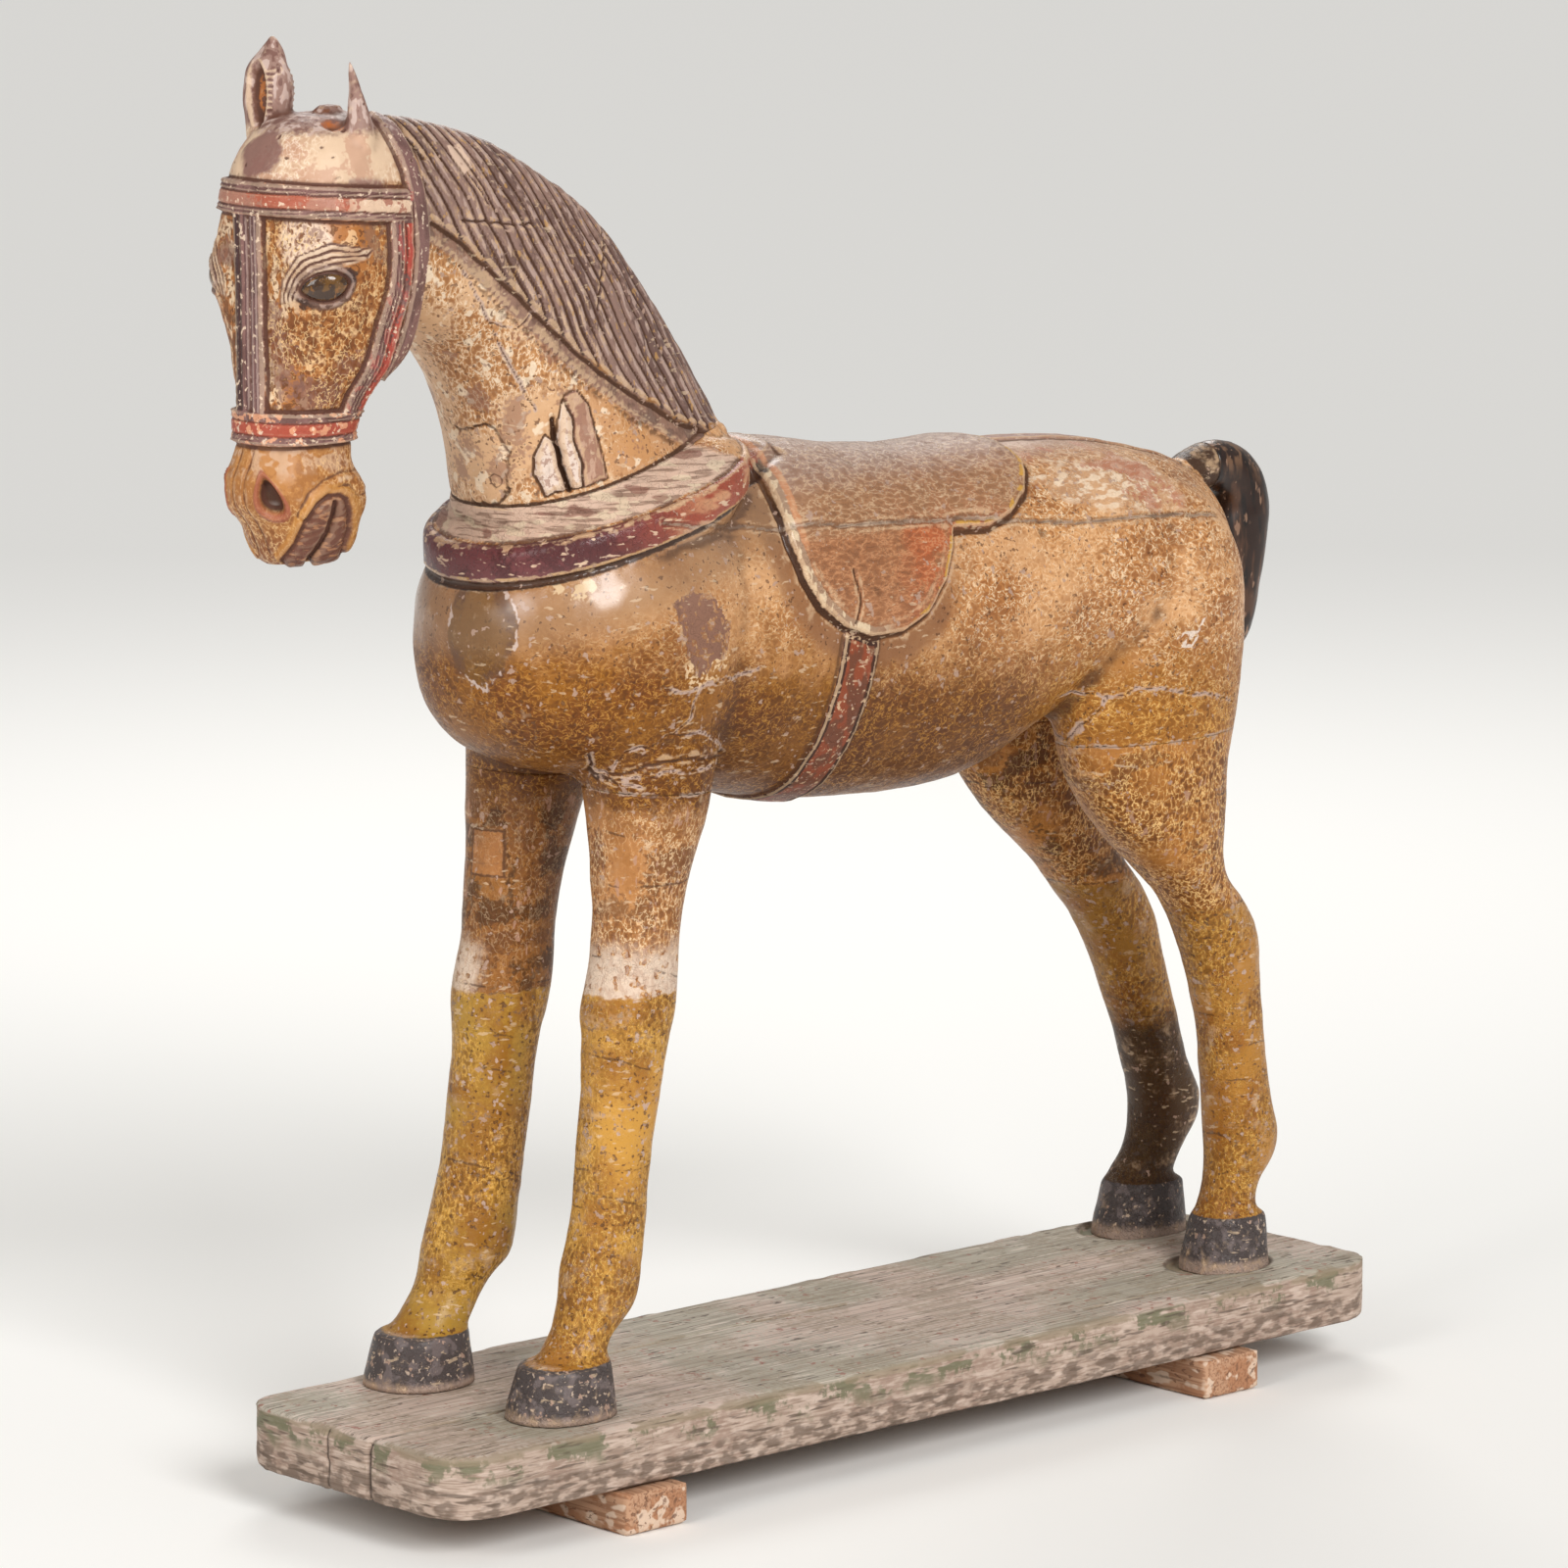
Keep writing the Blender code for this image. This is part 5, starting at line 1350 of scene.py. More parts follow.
class Masks:
    """A material and the masks that say where its coats go, from 0 to 1."""

    def __init__(self, name):
        self.material = bpy.data.materials.new(name)
        self.material.use_nodes = True
        self.tree = self.material.node_tree
        self.grains = {}
        self.found = None
        self.place = self.add("ShaderNodeTexCoord", {}, "Object")

    def add(self, kind, inputs, out=0, **settings):
        """Adds a node with its settings, values and links, and gives one of its outputs."""
        node = self.tree.nodes.new(kind)
        for name, value in settings.items():
            setattr(node, name, value)
        for key, value in inputs.items():
            if isinstance(value, bpy.types.NodeSocket):
                self.tree.links.new(value, node.inputs[key])
            else:
                node.inputs[key].default_value = value
        return node.outputs[out]

    def grain(self, size, stretch=(1, 1, 1), twist=0.0):
        """Random tone from 0 to 1, in grains of a size in millimetres, made once for each size."""
        key = (size, stretch, twist)
        if key not in self.grains:
            scale = tuple(1000 / size / s for s in stretch)
            spot = self.add("ShaderNodeMapping", {0: self.place, 1: (size, 2 * size, 3 * size), 3: scale})
            values = {"Vector": spot, "Scale": 1.0, "Detail": 2.0, "Distortion": twist}
            self.grains[key] = self.add("ShaderNodeTexNoise", values, "Fac")
        return self.grains[key]

    def moved(self, value, amount, size):
        """A value that wanders by about an amount, in grains of a size."""
        wander = self.add("ShaderNodeMath", {0: self.grain(size), 1: -0.5}, operation="ADD")
        values = {0: wander, 1: GRAIN_REACH * amount, 2: value}
        return self.add("ShaderNodeMath", values, operation="MULTIPLY_ADD")

    def step(self, value, start, soft, ragged=0.0, size=FLECK):
        """A soft step from 0 to 1, whose edge wanders by as much as it is ragged."""
        if ragged:
            value = self.moved(value, ragged, size)
        limits = {0: value, 1: start - soft / 2, 2: start + soft / 2, 3: 0.0, 4: 1.0}
        return self.add("ShaderNodeMapRange", limits, interpolation_type="SMOOTHSTEP")

    def below(self, value, start, soft, ragged=0.0, size=FLECK):
        """A soft step from 1 to 0."""
        return self.outside(self.step(value, start, soft, ragged, size))

    def within(self, value, low, high, soft, ragged=0.0, size=FLECK):
        """1 between two values, 0 outside them."""
        above = self.step(value, low, soft, ragged, size)
        below = self.step(value, high, soft, ragged, size)
        return self.add("ShaderNodeMath", {0: above, 1: below}, operation="SUBTRACT", use_clamp=True)

    def spots(self, size, share, stretch=(1, 1, 1), low=False, soft=0.05):
        """Ragged spots over a share of the surface, where a grain is high, or where it is low.

        Broad ones come from the clouds stored on the mesh, which cost the renderer nothing."""
        if size in CLOUDS:
            value = self.moved(getattr(self.found, CLOUDS[size][0]), 0.4, FLECK)
            start, soft = CLOUD_SPREAD * (0.5 - share), CLOUD_SOFTER * soft
        else:
            value, start = self.grain(size, stretch), GRAIN_SPREAD * (0.5 - share)
        middle = 0.0 if size in CLOUDS else 0.5
        if low:
            return self.below(value, middle - start, soft)
        return self.step(value, middle + start, soft)

    def product(self, *values):
        """Several masks multiplied."""
        result = values[0]
        for value in values[1:]:
            result = self.add("ShaderNodeMath", {0: result, 1: value}, operation="MULTIPLY")
        return result

    def outside(self, *masks):
        """Where a mask is not, or the product of several."""
        mask = self.product(*masks)
        return self.add("ShaderNodeMath", {0: 1.0, 1: mask}, operation="SUBTRACT", use_clamp=True)

    def near(self, x, y, z, reach, ragged=0.0, size=FLECK):
        """1 around a point in carver's units, 0 beyond the reach in millimetres."""
        spot = tuple(ZERO + Vector((x, y, z)) * MM)
        away = self.add("ShaderNodeVectorMath", {0: self.place, 1: spot}, "Value", operation="DISTANCE")
        return self.below(away, reach * MM, 0.3 * reach * MM, ragged * MM, size)

    def measures(self, *names):
        """The distances stored on the mesh, and x, y and z in carver's units."""
        names += ("hollow", "sunk", *(name for name, seed in CLOUDS.values()))
        made = {n: self.add("ShaderNodeAttribute", {}, "Fac", attribute_name=n) for n in names}
        parts = self.add("ShaderNodeSeparateXYZ", {0: self.place}, 0)
        for axis, start in zip("XYZ", ZERO):
            units = {0: parts.node.outputs[axis], 1: 1 / MM, 2: -start / MM}
            made[axis] = self.add("ShaderNodeMath", units, operation="MULTIPLY_ADD")
        self.found = SimpleNamespace(**made)
        return self.found


print("grains of", FLECK, DAB, PATCH, "mm and clouds of", *CLOUDS, "mm")

# %% Coats
# Dust and crazing dull the paint, and whole varnish lies over it as a clear coat
DULL = 0.24
CLEAR = 0.9
# How far from the middle tone of a grain a crest ends and a valley starts, and how softly
CREST = (0.024, 0.036)
VALLEY = (0.10, 0.14)


def srgb(code):
    """A colour typed as screen hex, in the linear values that Blender works with."""
    parts = [int(code[i : i + 2], 16) / 255 for i in (0, 2, 4)]
    linear = [p / 12.92 if p <= 0.04045 else ((p + 0.055) / 1.055) ** 2.4 for p in parts]
    return (*linear, 1.0)


class Finish(Masks):
    """A finish in coats, with a running colour, roughness and height in millimetres."""

    def __init__(self, name, ground, roughness):
        super().__init__(name)
        self.shader = self.tree.nodes["Principled BSDF"]
        self.colour = srgb(ground)
        self.roughness = roughness
        self.height = 0.0

    def coat(self, code, *masks, rough=None, height=0.0):
        """Lays a colour where all the masks say so."""
        where = self.product(*masks)
        mixed = {0: where, 6: self.colour, 7: srgb(code)}
        self.colour = self.add("ShaderNodeMix", mixed, 2, data_type="RGBA")
        if rough is not None:
            self.roughness = self.add("ShaderNodeMix", {0: where, 2: self.roughness, 3: rough})
        if height:
            raised = {0: where, 1: height, 2: self.height}
            self.height = self.add("ShaderNodeMath", raised, operation="MULTIPLY_ADD")

    def crazed(self, fine, strength, valley, crest, depth=0.5):
        """Varnish that has shrunk into fine worm-like crests with dark valleys between them.

        The crests run where a grain passes its middle tone, so that they join into a net."""
        away = self.add("ShaderNodeMath", {0: fine, 1: 0.5}, operation="SUBTRACT")
        away = self.add("ShaderNodeMath", {0: away}, operation="ABSOLUTE")
        ridge = self.below(away, *CREST)
        self.coat(valley, self.step(away, *VALLEY), strength, rough=0.5)
        # The crests' pale colour is partly a painted highlight, standing for glints of light on them
        self.coat(crest, ridge, strength, rough=0.36)
        raised = {0: self.product(ridge, strength), 1: depth, 2: self.height}
        self.height = self.add("ShaderNodeMath", raised, operation="MULTIPLY_ADD")

    def varnished(self, where, roughness):
        """Whole, glossy varnish where a mask says so, over paint that has gone dull."""
        self.shader.inputs["Specular IOR Level"].default_value = DULL
        self.shader.inputs["Coat Roughness"].default_value = roughness
        self.tree.links.new(self.product(where, CLEAR), self.shader.inputs["Coat Weight"])

    def finished(self, bump=1.0):
        """Joins colour, roughness and height to the shader."""
        for value, name in ((self.colour, "Base Color"), (self.roughness, "Roughness")):
            if isinstance(value, bpy.types.NodeSocket):
                self.tree.links.new(value, self.shader.inputs[name])
            else:
                self.shader.inputs[name].default_value = value
        if isinstance(self.height, bpy.types.NodeSocket):
            inputs = {"Height": self.height, "Distance": MM, "Strength": bump}
            self.tree.links.new(self.add("ShaderNodeBump", inputs), self.shader.inputs["Normal"])
        return self.material


print("an ochre in linear values", [round(v, 3) for v in srgb("7E4816")])

# %% [markdown]
# ## Varnished oil paint on the body
# The ground is a yellow ochre oil paint under a thick varnish. Varnish this old has yellowed and
# shrunk into a net of crests and valleys about 4 mm apart, so it still shines, but in many small
# glints, and the crests are painted pale too, partly as a painted highlight of those glints. Only
# on the chest is it whole, and there it lies over the paint as a clear coat. The upper side is
# paler, partly with dust and partly as painted light from above, and the belly is painted darker
# as painted shade. The same coats go over trunk, neck and legs, so that no joint shows a change of
# colour.

# %% Body paint
# The crazing is drawn a little coarser than it is, so that it shows at this distance
CRAZING = 6.4
FINE_CRAZING = 6.0
HEAD_CRAZING = 5.6


def body_paint(name, strength=1.0):
    """The painter's coats over the whole body, from ochre ground to dust."""
    p = Finish(name, "7E4816", 0.34)
    m = p.measures(
        "saddle", "girth", "collar", "mane", "flute", "crupper", "crack", "wide", "glue", "filled",
        "seam", "sliver", "block", "plug", "bare", "croup", "stain", "chip", "hook", "mane_patch", "tail",
    )
    level = p.add("ShaderNodeMath", {0: m.X, 1: 0.15, 2: m.Z}, operation="MULTIPLY_ADD")
    # Above this level the paint is paler, partly dust and partly painted light from above
    high = p.step(level, 690, 130, 18, PATCH)
    low = p.outside(high)
    p.coat("64360C", p.spots(CLOUD, 0.5, soft=0.2), 0.65)
    p.coat("9C6418", p.spots(DRIFT, 0.45, soft=0.2), 0.6)
    # Darker towards the belly: painted shade under the body
    belly = p.product(p.below(m.Z, 640, 130), p.step(m.Z, 540, 10))
    p.coat("5A300F", belly, p.below(m.X, 200, 150), 0.55)
    p.coat("D0955E", high, 0.88)
    p.coat("B2753F", high, p.spots(CLOUD, 0.42, soft=0.2), 0.8)
    p.coat("8A5229", high, p.spots(MIST, 0.26, soft=0.2), 0.6)
    p.coat("E2B384", high, p.spots(DRIFT, 0.28, soft=0.2), 0.55)
    rear = p.step(m.X, 190, 150)
    p.coat("B87A2F", rear, low, 0.85)
    p.coat("8E581E", rear, low, p.spots(DRIFT, 0.36, soft=0.25), 0.7)
    halo = p.product(p.within(m.saddle, -30.0, 2.0, 20.0, 5.0, PATCH), p.below(m.X, 40, 40))
    below_collar = p.product(p.within(m.collar, -56.0, 2.0, 44.0), p.below(m.X, -120, 20))
    smooth = p.add("ShaderNodeMath", {0: halo, 1: below_collar}, operation="MAXIMUM")
    uneven = p.product(p.spots(DRIFT, 0.92, low=True, soft=0.3), strength)
    uneven = p.product(uneven, p.outside(smooth, 0.85))
    fine = p.grain(CRAZING, (1.3, 1.3, 1.0), 0.6)
    front_low = p.product(low, p.outside(rear))
    p.crazed(fine, p.product(front_low, uneven, 0.62), "45240A", "C08A3E", 0.6)
    p.crazed(fine, p.product(low, rear, uneven, 0.75), "70420F", "E0AE60", 0.6)
    p.crazed(fine, p.product(high, uneven, 0.72), "84502A", "F6DAB4", 0.6)
    p.coat("7E553A", halo, 0.75, rough=0.30)
    p.coat("94704F", below_collar, 0.66, rough=0.24)
    p.coat("4E2C16", p.spots(FLECK, 0.05), 0.7, rough=0.6, height=-0.15)
    p.varnished(below_collar, 0.24)
    return p, m


print("grains of the crazing", CRAZING, FINE_CRAZING, HEAD_CRAZING, "mm")

# %% Saddle, girth and wear
# Height where the saddle's seat turns up from the flap, and the girth's top
SEAT_LEVEL = 803
GIRTH_TOP = 712


def trunk_marks(p, m):
    """Saddle, girth, the marks of wear on the trunk, and painted shade along the saddle's edges."""
    top = p.product(p.step(m.Z, 846, 24), p.step(m.X, 150, 60))
    p.coat("A98672", top, 0.75)
    p.coat("B4654A", top, p.spots(PATCH, 0.15, LEVEL), 0.6)
    croup = p.step(m.croup, -2.0, 16.0, 5.0, PATCH)
    p.coat("C39A78", croup, 0.6)
    p.coat("E8D0B4", croup, p.spots(FLECK, 0.42, LEVEL, soft=0.14), 0.85, rough=0.5, height=0.3)
    p.coat("B06B50", croup, p.spots(MIST, 0.16), 0.7)
    bare = p.step(m.bare, -1.0, 1.2, 6.0, DAB)
    flakes = p.product(p.within(m.bare, -13.0, 3.0, 6.0, 4.0, DAB), p.spots(FLECK, 0.42))
    p.coat("E2C198", flakes, p.below(m.Z, 712, 16, 8, PATCH), 0.85)
    p.coat("87614F", bare, p.outside(p.spots(DAB, 0.3), 0.6), rough=0.7, height=-0.4)
    p.coat("B9552F", p.near(-292, -124, 702, 11, 4), 0.85)
    p.coat("D2B48C", p.below(m.chip, 6.0, 1.2, 4.0, DAB), 0.9, rough=0.5)
    p.coat("634622", p.below(m.stain, 1.0, 0.1), 0.6, rough=0.3)
    p.coat("5E4034", p.within(m.stain, 0.7, 1.05, 0.3), p.spots(MIST, 0.5, soft=0.1), 0.6)
    outline = p.within(m.stain, 0.99, 1.06, 0.04, 0.06)
    p.coat("CDB9B0", outline, p.spots(PATCH, 0.5), 0.75)
    saddle = p.step(m.saddle, 0.3, 1.6)
    seat = p.product(saddle, p.step(m.Z, SEAT_LEVEL, 8))
    p.coat("A06B48", saddle, 0.95, rough=0.42)
    p.coat("B45C34", saddle, p.step(m.X, -20, 70, 12, PATCH), p.spots(MIST, 0.6, soft=0.1), 0.8)
    p.coat("A57A58", seat, p.step(m.Z, 800, 50), 0.85)
    p.coat("A98E80", seat, p.step(m.Z, 850, 30, 5, PATCH), 0.8)
    strokes = p.grain(FINE_CRAZING, (2.2, 2.2, 1.0))
    p.crazed(strokes, p.product(seat, 0.5), "805536", "D6B592", 0.35)
    p.crazed(strokes, p.product(saddle, p.outside(seat), 0.45), "6F452C", "CE956B", 0.35)
    yellow = p.within(m.saddle, 2.5, 6.5, 1.5, 0.6)
    p.coat("C9973F", yellow, p.step(m.X, -20, 30), p.spots(PATCH, 0.5), 0.85)
    # A dark line along the back half of the saddle's edge: painted shade at the foot of its raised edge
    rear_edge_shade = p.product(p.within(m.saddle, -3.5, 1.2, 1.2, 0.6), p.step(m.X, -40, 30))
    p.coat("5A3422", rear_edge_shade, 0.8, rough=0.6)
    front = p.below(m.X, -60, 40)
    worn = p.product(p.within(m.saddle, 1.0, 10.0, 1.6, 0.8), front)
    p.coat("A0836B", worn, 0.85, rough=0.5)
    p.coat("DBC3A2", worn, p.spots(DAB, 0.4, UPRIGHT), 0.9, rough=0.5)
    p.coat("D08A5C", p.within(m.saddle, 10.0, 17.0, 2.0, 0.8), front, p.step(m.Z, 800, 30), 0.6)
    # A near-black line outside the flap's front and lower edge: painted shadow under the raised flap
    line = p.within(m.saddle, -4.5, 0.8, 1.4, 0.5)
    p.coat("241610", line, p.below(m.Z, 842, 30), front, 0.92, rough=0.6)
    girth = p.product(p.step(m.girth, 0.3, 1.2), p.below(m.Z, GIRTH_TOP, 8))
    p.coat("6C3E2A", girth, rough=0.4)
    p.coat("8E4428", girth, p.spots(PATCH, 0.45, UPRIGHT, soft=0.1), 0.8)
    p.coat("35221B", girth, p.below(m.girth, 7.0, 1.2, 0.5), 0.92, rough=0.5)
    p.coat("CFAE8C", girth, p.spots(FLECK, 0.08), 0.8)
    crupper = p.step(m.crupper, 0.0, 2.0, 0.8)
    p.coat("8E5744", crupper, 0.75)
    p.coat("C8A58C", crupper, p.spots(DAB, 0.3, LEVEL), 0.7)


print("the seat starts at", SEAT_LEVEL, "mm and the girth ends at", GIRTH_TOP)


# %% Collar paint
def collar_marks(p, m):
    """The collar's band, maroon in front and orange-red at the back, painted shadow below it, and its
    dusty ledge.
    """
    here = p.product(p.below(m.X, -140, 12), p.below(m.Z, 925, 10))
    here = p.product(here, p.below(m.mane, -14.0, 3.0))
    band = p.product(here, p.within(m.collar, 0.3, 32.5, 1.2, 0.7))
    p.coat("6B3B3C", band, rough=0.28)
    p.coat("4A2A2A", band, p.spots(MIST, 0.4, soft=0.1), 0.7)
    p.coat("9E4E38", band, p.step(m.X, -345, 110, 20, PATCH), 0.85)
    p.coat("D2A078", band, p.step(m.X, -290, 90, 20, PATCH), p.spots(PATCH, 0.5, LEVEL, soft=0.1), 0.7)
    p.coat("B98A48", band, p.within(m.collar, 1.0, 4.0, 1.2, 0.6), p.spots(MIST, 0.4), 0.75)
    p.coat("C09A78", band, p.within(m.collar, 27.0, 33.0, 2.0, 1.6, DAB), p.spots(PATCH, 0.45), 0.85)
    p.coat("D8B79C", band, p.spots(FLECK, 0.06, LEVEL), 0.8, rough=0.5)
    # A near-black strip just below the band: painted shadow of its undercut
    p.coat("2C1914", here, p.within(m.collar, -6.5, 0.5, 1.6, 0.5), 0.92, rough=0.6)
    ledge = p.product(here, p.within(m.collar, 34.0, 60.0, 2.0, 0.8))
    p.coat("D0B29E", ledge, 0.9, rough=0.6)
    p.coat("7C5F4E", ledge, p.step(p.grain(3.2, (14, 14, 1)), 0.56, 0.08), 0.7)
    p.coat("D3BDA1", ledge, p.spots(DAB, 0.25, LEVEL), 0.8)
    p.coat("7E5144", ledge, p.spots(PATCH, 0.14, LEVEL), 0.7)
    p.coat("5A3A2E", here, p.within(m.collar, 32.2, 35.0, 1.2, 0.6), p.spots(MIST, 0.6), 0.75)
    p.coat("2E1D16", here, p.within(m.collar, 59.5, 62.5, 1.0, 0.5), 0.85, rough=0.8)


print("the collar's foot is at", COLLAR_FOOT)


# %% Cracks, mends and wear
def mends(p, m):
    """Cracks, pale filler, glue lines, dirt and painted shade in hollows, and wear on edges."""
    broken = p.spots(PATCH, 0.6, soft=0.08)
    p.coat("BDA294", p.below(m.filled, 1.9, 1.4, 1.2), broken, 0.85, rough=0.7)
    p.coat("3A251C", p.below(m.filled, 0.4, 0.7, 0.4), p.outside(broken, 0.7), 0.8)
    p.coat("B59B8A", p.below(m.seam, 2.2, 1.6, 1.5), broken, 0.8, rough=0.7)
    p.coat("2C1A12", p.below(m.seam, 0.8, 0.5), 0.92)
    p.coat("BBA48F", p.below(m.glue, 1.5, 1.0, 0.5), 0.75, rough=0.6)
    p.coat("5E4230", p.within(m.glue, 1.2, 3.0, 1.0, 0.4), 0.4)
    p.coat("E4D3C4", p.below(m.hook, 1.4, 0.8, 0.4), 0.85, rough=0.5)
    p.coat("2A1A12", p.below(m.crack, 0.8, 0.7, 0.3), p.spots(MIST, 0.75), 0.85, rough=0.8)
    p.coat("1E130E", p.below(m.wide, 2.0, 1.2, 0.5), 0.95, rough=0.8)
    # Darker in small hollows, dirt and painted shade, and in the broad hollows of folds, painted shade
    p.coat("4A2C1A", p.step(m.hollow, 0.26, 0.4), 0.65, rough=0.6)
    p.coat("55351F", p.step(m.sunk, 0.6, 1.6), 0.3)
    worn = p.add("ShaderNodeMath", {0: m.hollow, 1: -1.0}, operation="MULTIPLY")
    p.coat("D6B38E", p.step(worn, 0.34, 0.30, 0.12), 0.55, rough=0.5)
    p.coat("D8BC9C", p.spots(FLECK, 0.03, LEVEL), p.spots(DRIFT, 0.4, soft=0.1), 0.5)
    p.coat("B0917F", p.spots(DAB, -0.02, soft=0.03), 0.8, rough=0.6, height=-0.2)


print("mended lines", len(FILLED_LINES) + len(SEAM_FILLERS))


# %% The finishes of trunk and neck
def trunk_finish():
    """Varnished ochre oil paint with painted harness."""
    p, m = body_paint("varnished ochre oil paint, harness in red")
    trunk_marks(p, m)
    collar_marks(p, m)
    p.coat("35231B", p.step(m.tail, 0.25, 0.1), 0.95)
    mends(p, m)
    return p.finished()


def neck_finish():
    """Cream and tan oil paint worn thin, with a grey-brown mane."""
    p, m = body_paint("worn cream oil paint, brown mane", 0.2)
    skin = p.below(m.mane, 0.0, 2.0)
    p.coat("C18C5B", skin, 0.85, rough=0.42)
    upper = p.step(m.X, -395, 120, 25, PATCH)
    p.coat("D9B18A", skin, p.outside(upper), p.spots(DRIFT, 0.62), 0.8)
    p.coat("C8966C", skin, upper, p.spots(MIST, 0.4), 0.7)
    fine = p.grain(FINE_CRAZING, (1.0, 1.0, 1.7))
    net = p.product(skin, p.spots(DRIFT, 0.6, low=True, soft=0.12), 0.75)
    p.crazed(fine, net, "8C5A34", "F4DABA", 0.35)
    p.coat("ECD6BA", skin, p.spots(PATCH, 0.18), 0.8)
    p.coat("6E4A34", skin, p.spots(FLECK, 0.08), 0.8, height=-0.2)
    p.coat("8B6152", skin, p.spots(MIST, 0.06, low=True), 0.6)
    strip = p.within(m.mane, -15.0, 0.5, 4.0, 0.8)
    p.coat("84665A", strip, 0.85, rough=0.5)
    p.coat("5E443A", strip, p.spots(PATCH, 0.4, soft=0.1), 0.6)
    collar_marks(p, m)
    sliver = p.step(m.sliver, 0.3, 1.2)
    p.coat("DDC9BB", sliver, 0.95, rough=0.65)
    p.coat("A98676", sliver, p.spots(FLECK, 0.3, low=True), 0.8)
    block = p.product(p.step(m.block, 0.3, 1.2), p.step(m.X, -404, 4))
    p.coat("9B7260", block, 0.9, rough=0.6)
    p.coat("C09B84", block, p.spots(DAB, 0.3, UPRIGHT), 0.8)
    p.coat("2E1C14", p.within(m.block, -1.1, 0.5, 0.8, 0.6), p.spots(MIST, 0.6), 0.7, rough=0.8)
    p.coat("2E1C14", p.within(m.sliver, -1.6, 0.3, 0.9, 0.5), 0.7, rough=0.8)
    p.coat("6A4A38", p.within(m.plug, 5.6, 6.8, 0.6, 0.3), 0.6)
    hair = p.step(m.mane, 0.5, 2.0)
    p.coat("8C6F64", hair, rough=0.44)
    p.coat("5A423C", hair, p.spots(DRIFT, 0.4, soft=0.1), 0.7)
    # Pale on the ridges of the flutes: a painted highlight on the carved fluting
    p.coat("B59A8E", hair, p.step(m.flute, 0.82, 0.2), p.spots(DAB, 0.5, UPRIGHT, soft=0.1), 0.85)
    p.coat("B58A54", hair, p.spots(FLECK, 0.06, UPRIGHT), 0.75)
    # Dark in the grooves of the flutes: painted shade
    p.coat("35231F", hair, p.below(m.flute, 0.30, 0.34), 0.85, rough=0.7)
    lip = p.product(p.within(m.mane, 0.4, 3.2, 1.2, 0.6), p.spots(MIST, 0.42))
    p.coat("A0703F", lip, 0.8)
    p.coat("2B1A15", p.within(m.mane, -3.0, 0.2, 1.4, 0.4), 0.7, rough=0.7)
    p.coat("D6B8A2", p.step(m.mane_patch, 0.0, 1.5, 0.8), 0.9, rough=0.6)
    mends(p, m)
    return p.finished()


PAINTS = {"trunk_paint": trunk_finish(), "neck_paint": neck_finish()}
for name, paint in PAINTS.items():
    print(name, len(paint.node_tree.nodes), "nodes")

# %% Leg paint above the knee
LEG_STRETCH = (1.0, 1.0, 1.5)


def upper_leg(p, m, front, near):
    """Ochre worn in streaks below the seam, painted darker on the far legs as painted shade."""
    far_front = p.product(front, p.outside(near))
    below_seam = p.below(m.Z, 560, 40, 14, PATCH)
    # Less of the paler coat on the far front leg: painted shade
    upper = p.product(below_seam, p.outside(far_front, 0.7))
    rear_upper = p.product(upper, p.outside(front))
    p.coat("C48A55", upper, 0.85)
    p.coat("B57630", rear_upper, 0.9)
    p.coat("8F5A26", upper, p.spots(MIST, 0.4, soft=0.25), 0.65)
    p.coat("54301A", below_seam, p.spots(MIST, 0.14, low=True, soft=0.08), 0.6)
    # The far legs are painted darker below the seam: painted shade on the side turned from the light
    p.coat("5C3416", below_seam, far_front, 0.25)
    p.coat("341C0C", below_seam, p.outside(near), p.spots(MIST, 0.3, soft=0.08), 0.7)
    fine = p.grain(FINE_CRAZING, LEG_STRETCH)
    crests = p.product(upper, p.spots(DRIFT, 0.9, low=True, soft=0.25), 0.9)
    p.crazed(fine, p.product(crests, front, 0.85), "764624", "EFCB9F", 0.4)
    p.crazed(fine, p.product(crests, p.outside(front)), "683A12", "F0C482", 0.4)
    p.coat("B58B74", p.spots(DAB, 0.02, UPRIGHT), 0.7, rough=0.5)


print("seams above the legs at", FRONT_LEVEL, REAR_LEVEL)

# %% Leg paint from the knee down
# The pale band on the far front knee; on the near one it lies higher by the third number
KNEE_BAND = (373, 417, 18.0)
HOCK_LEVEL = 376


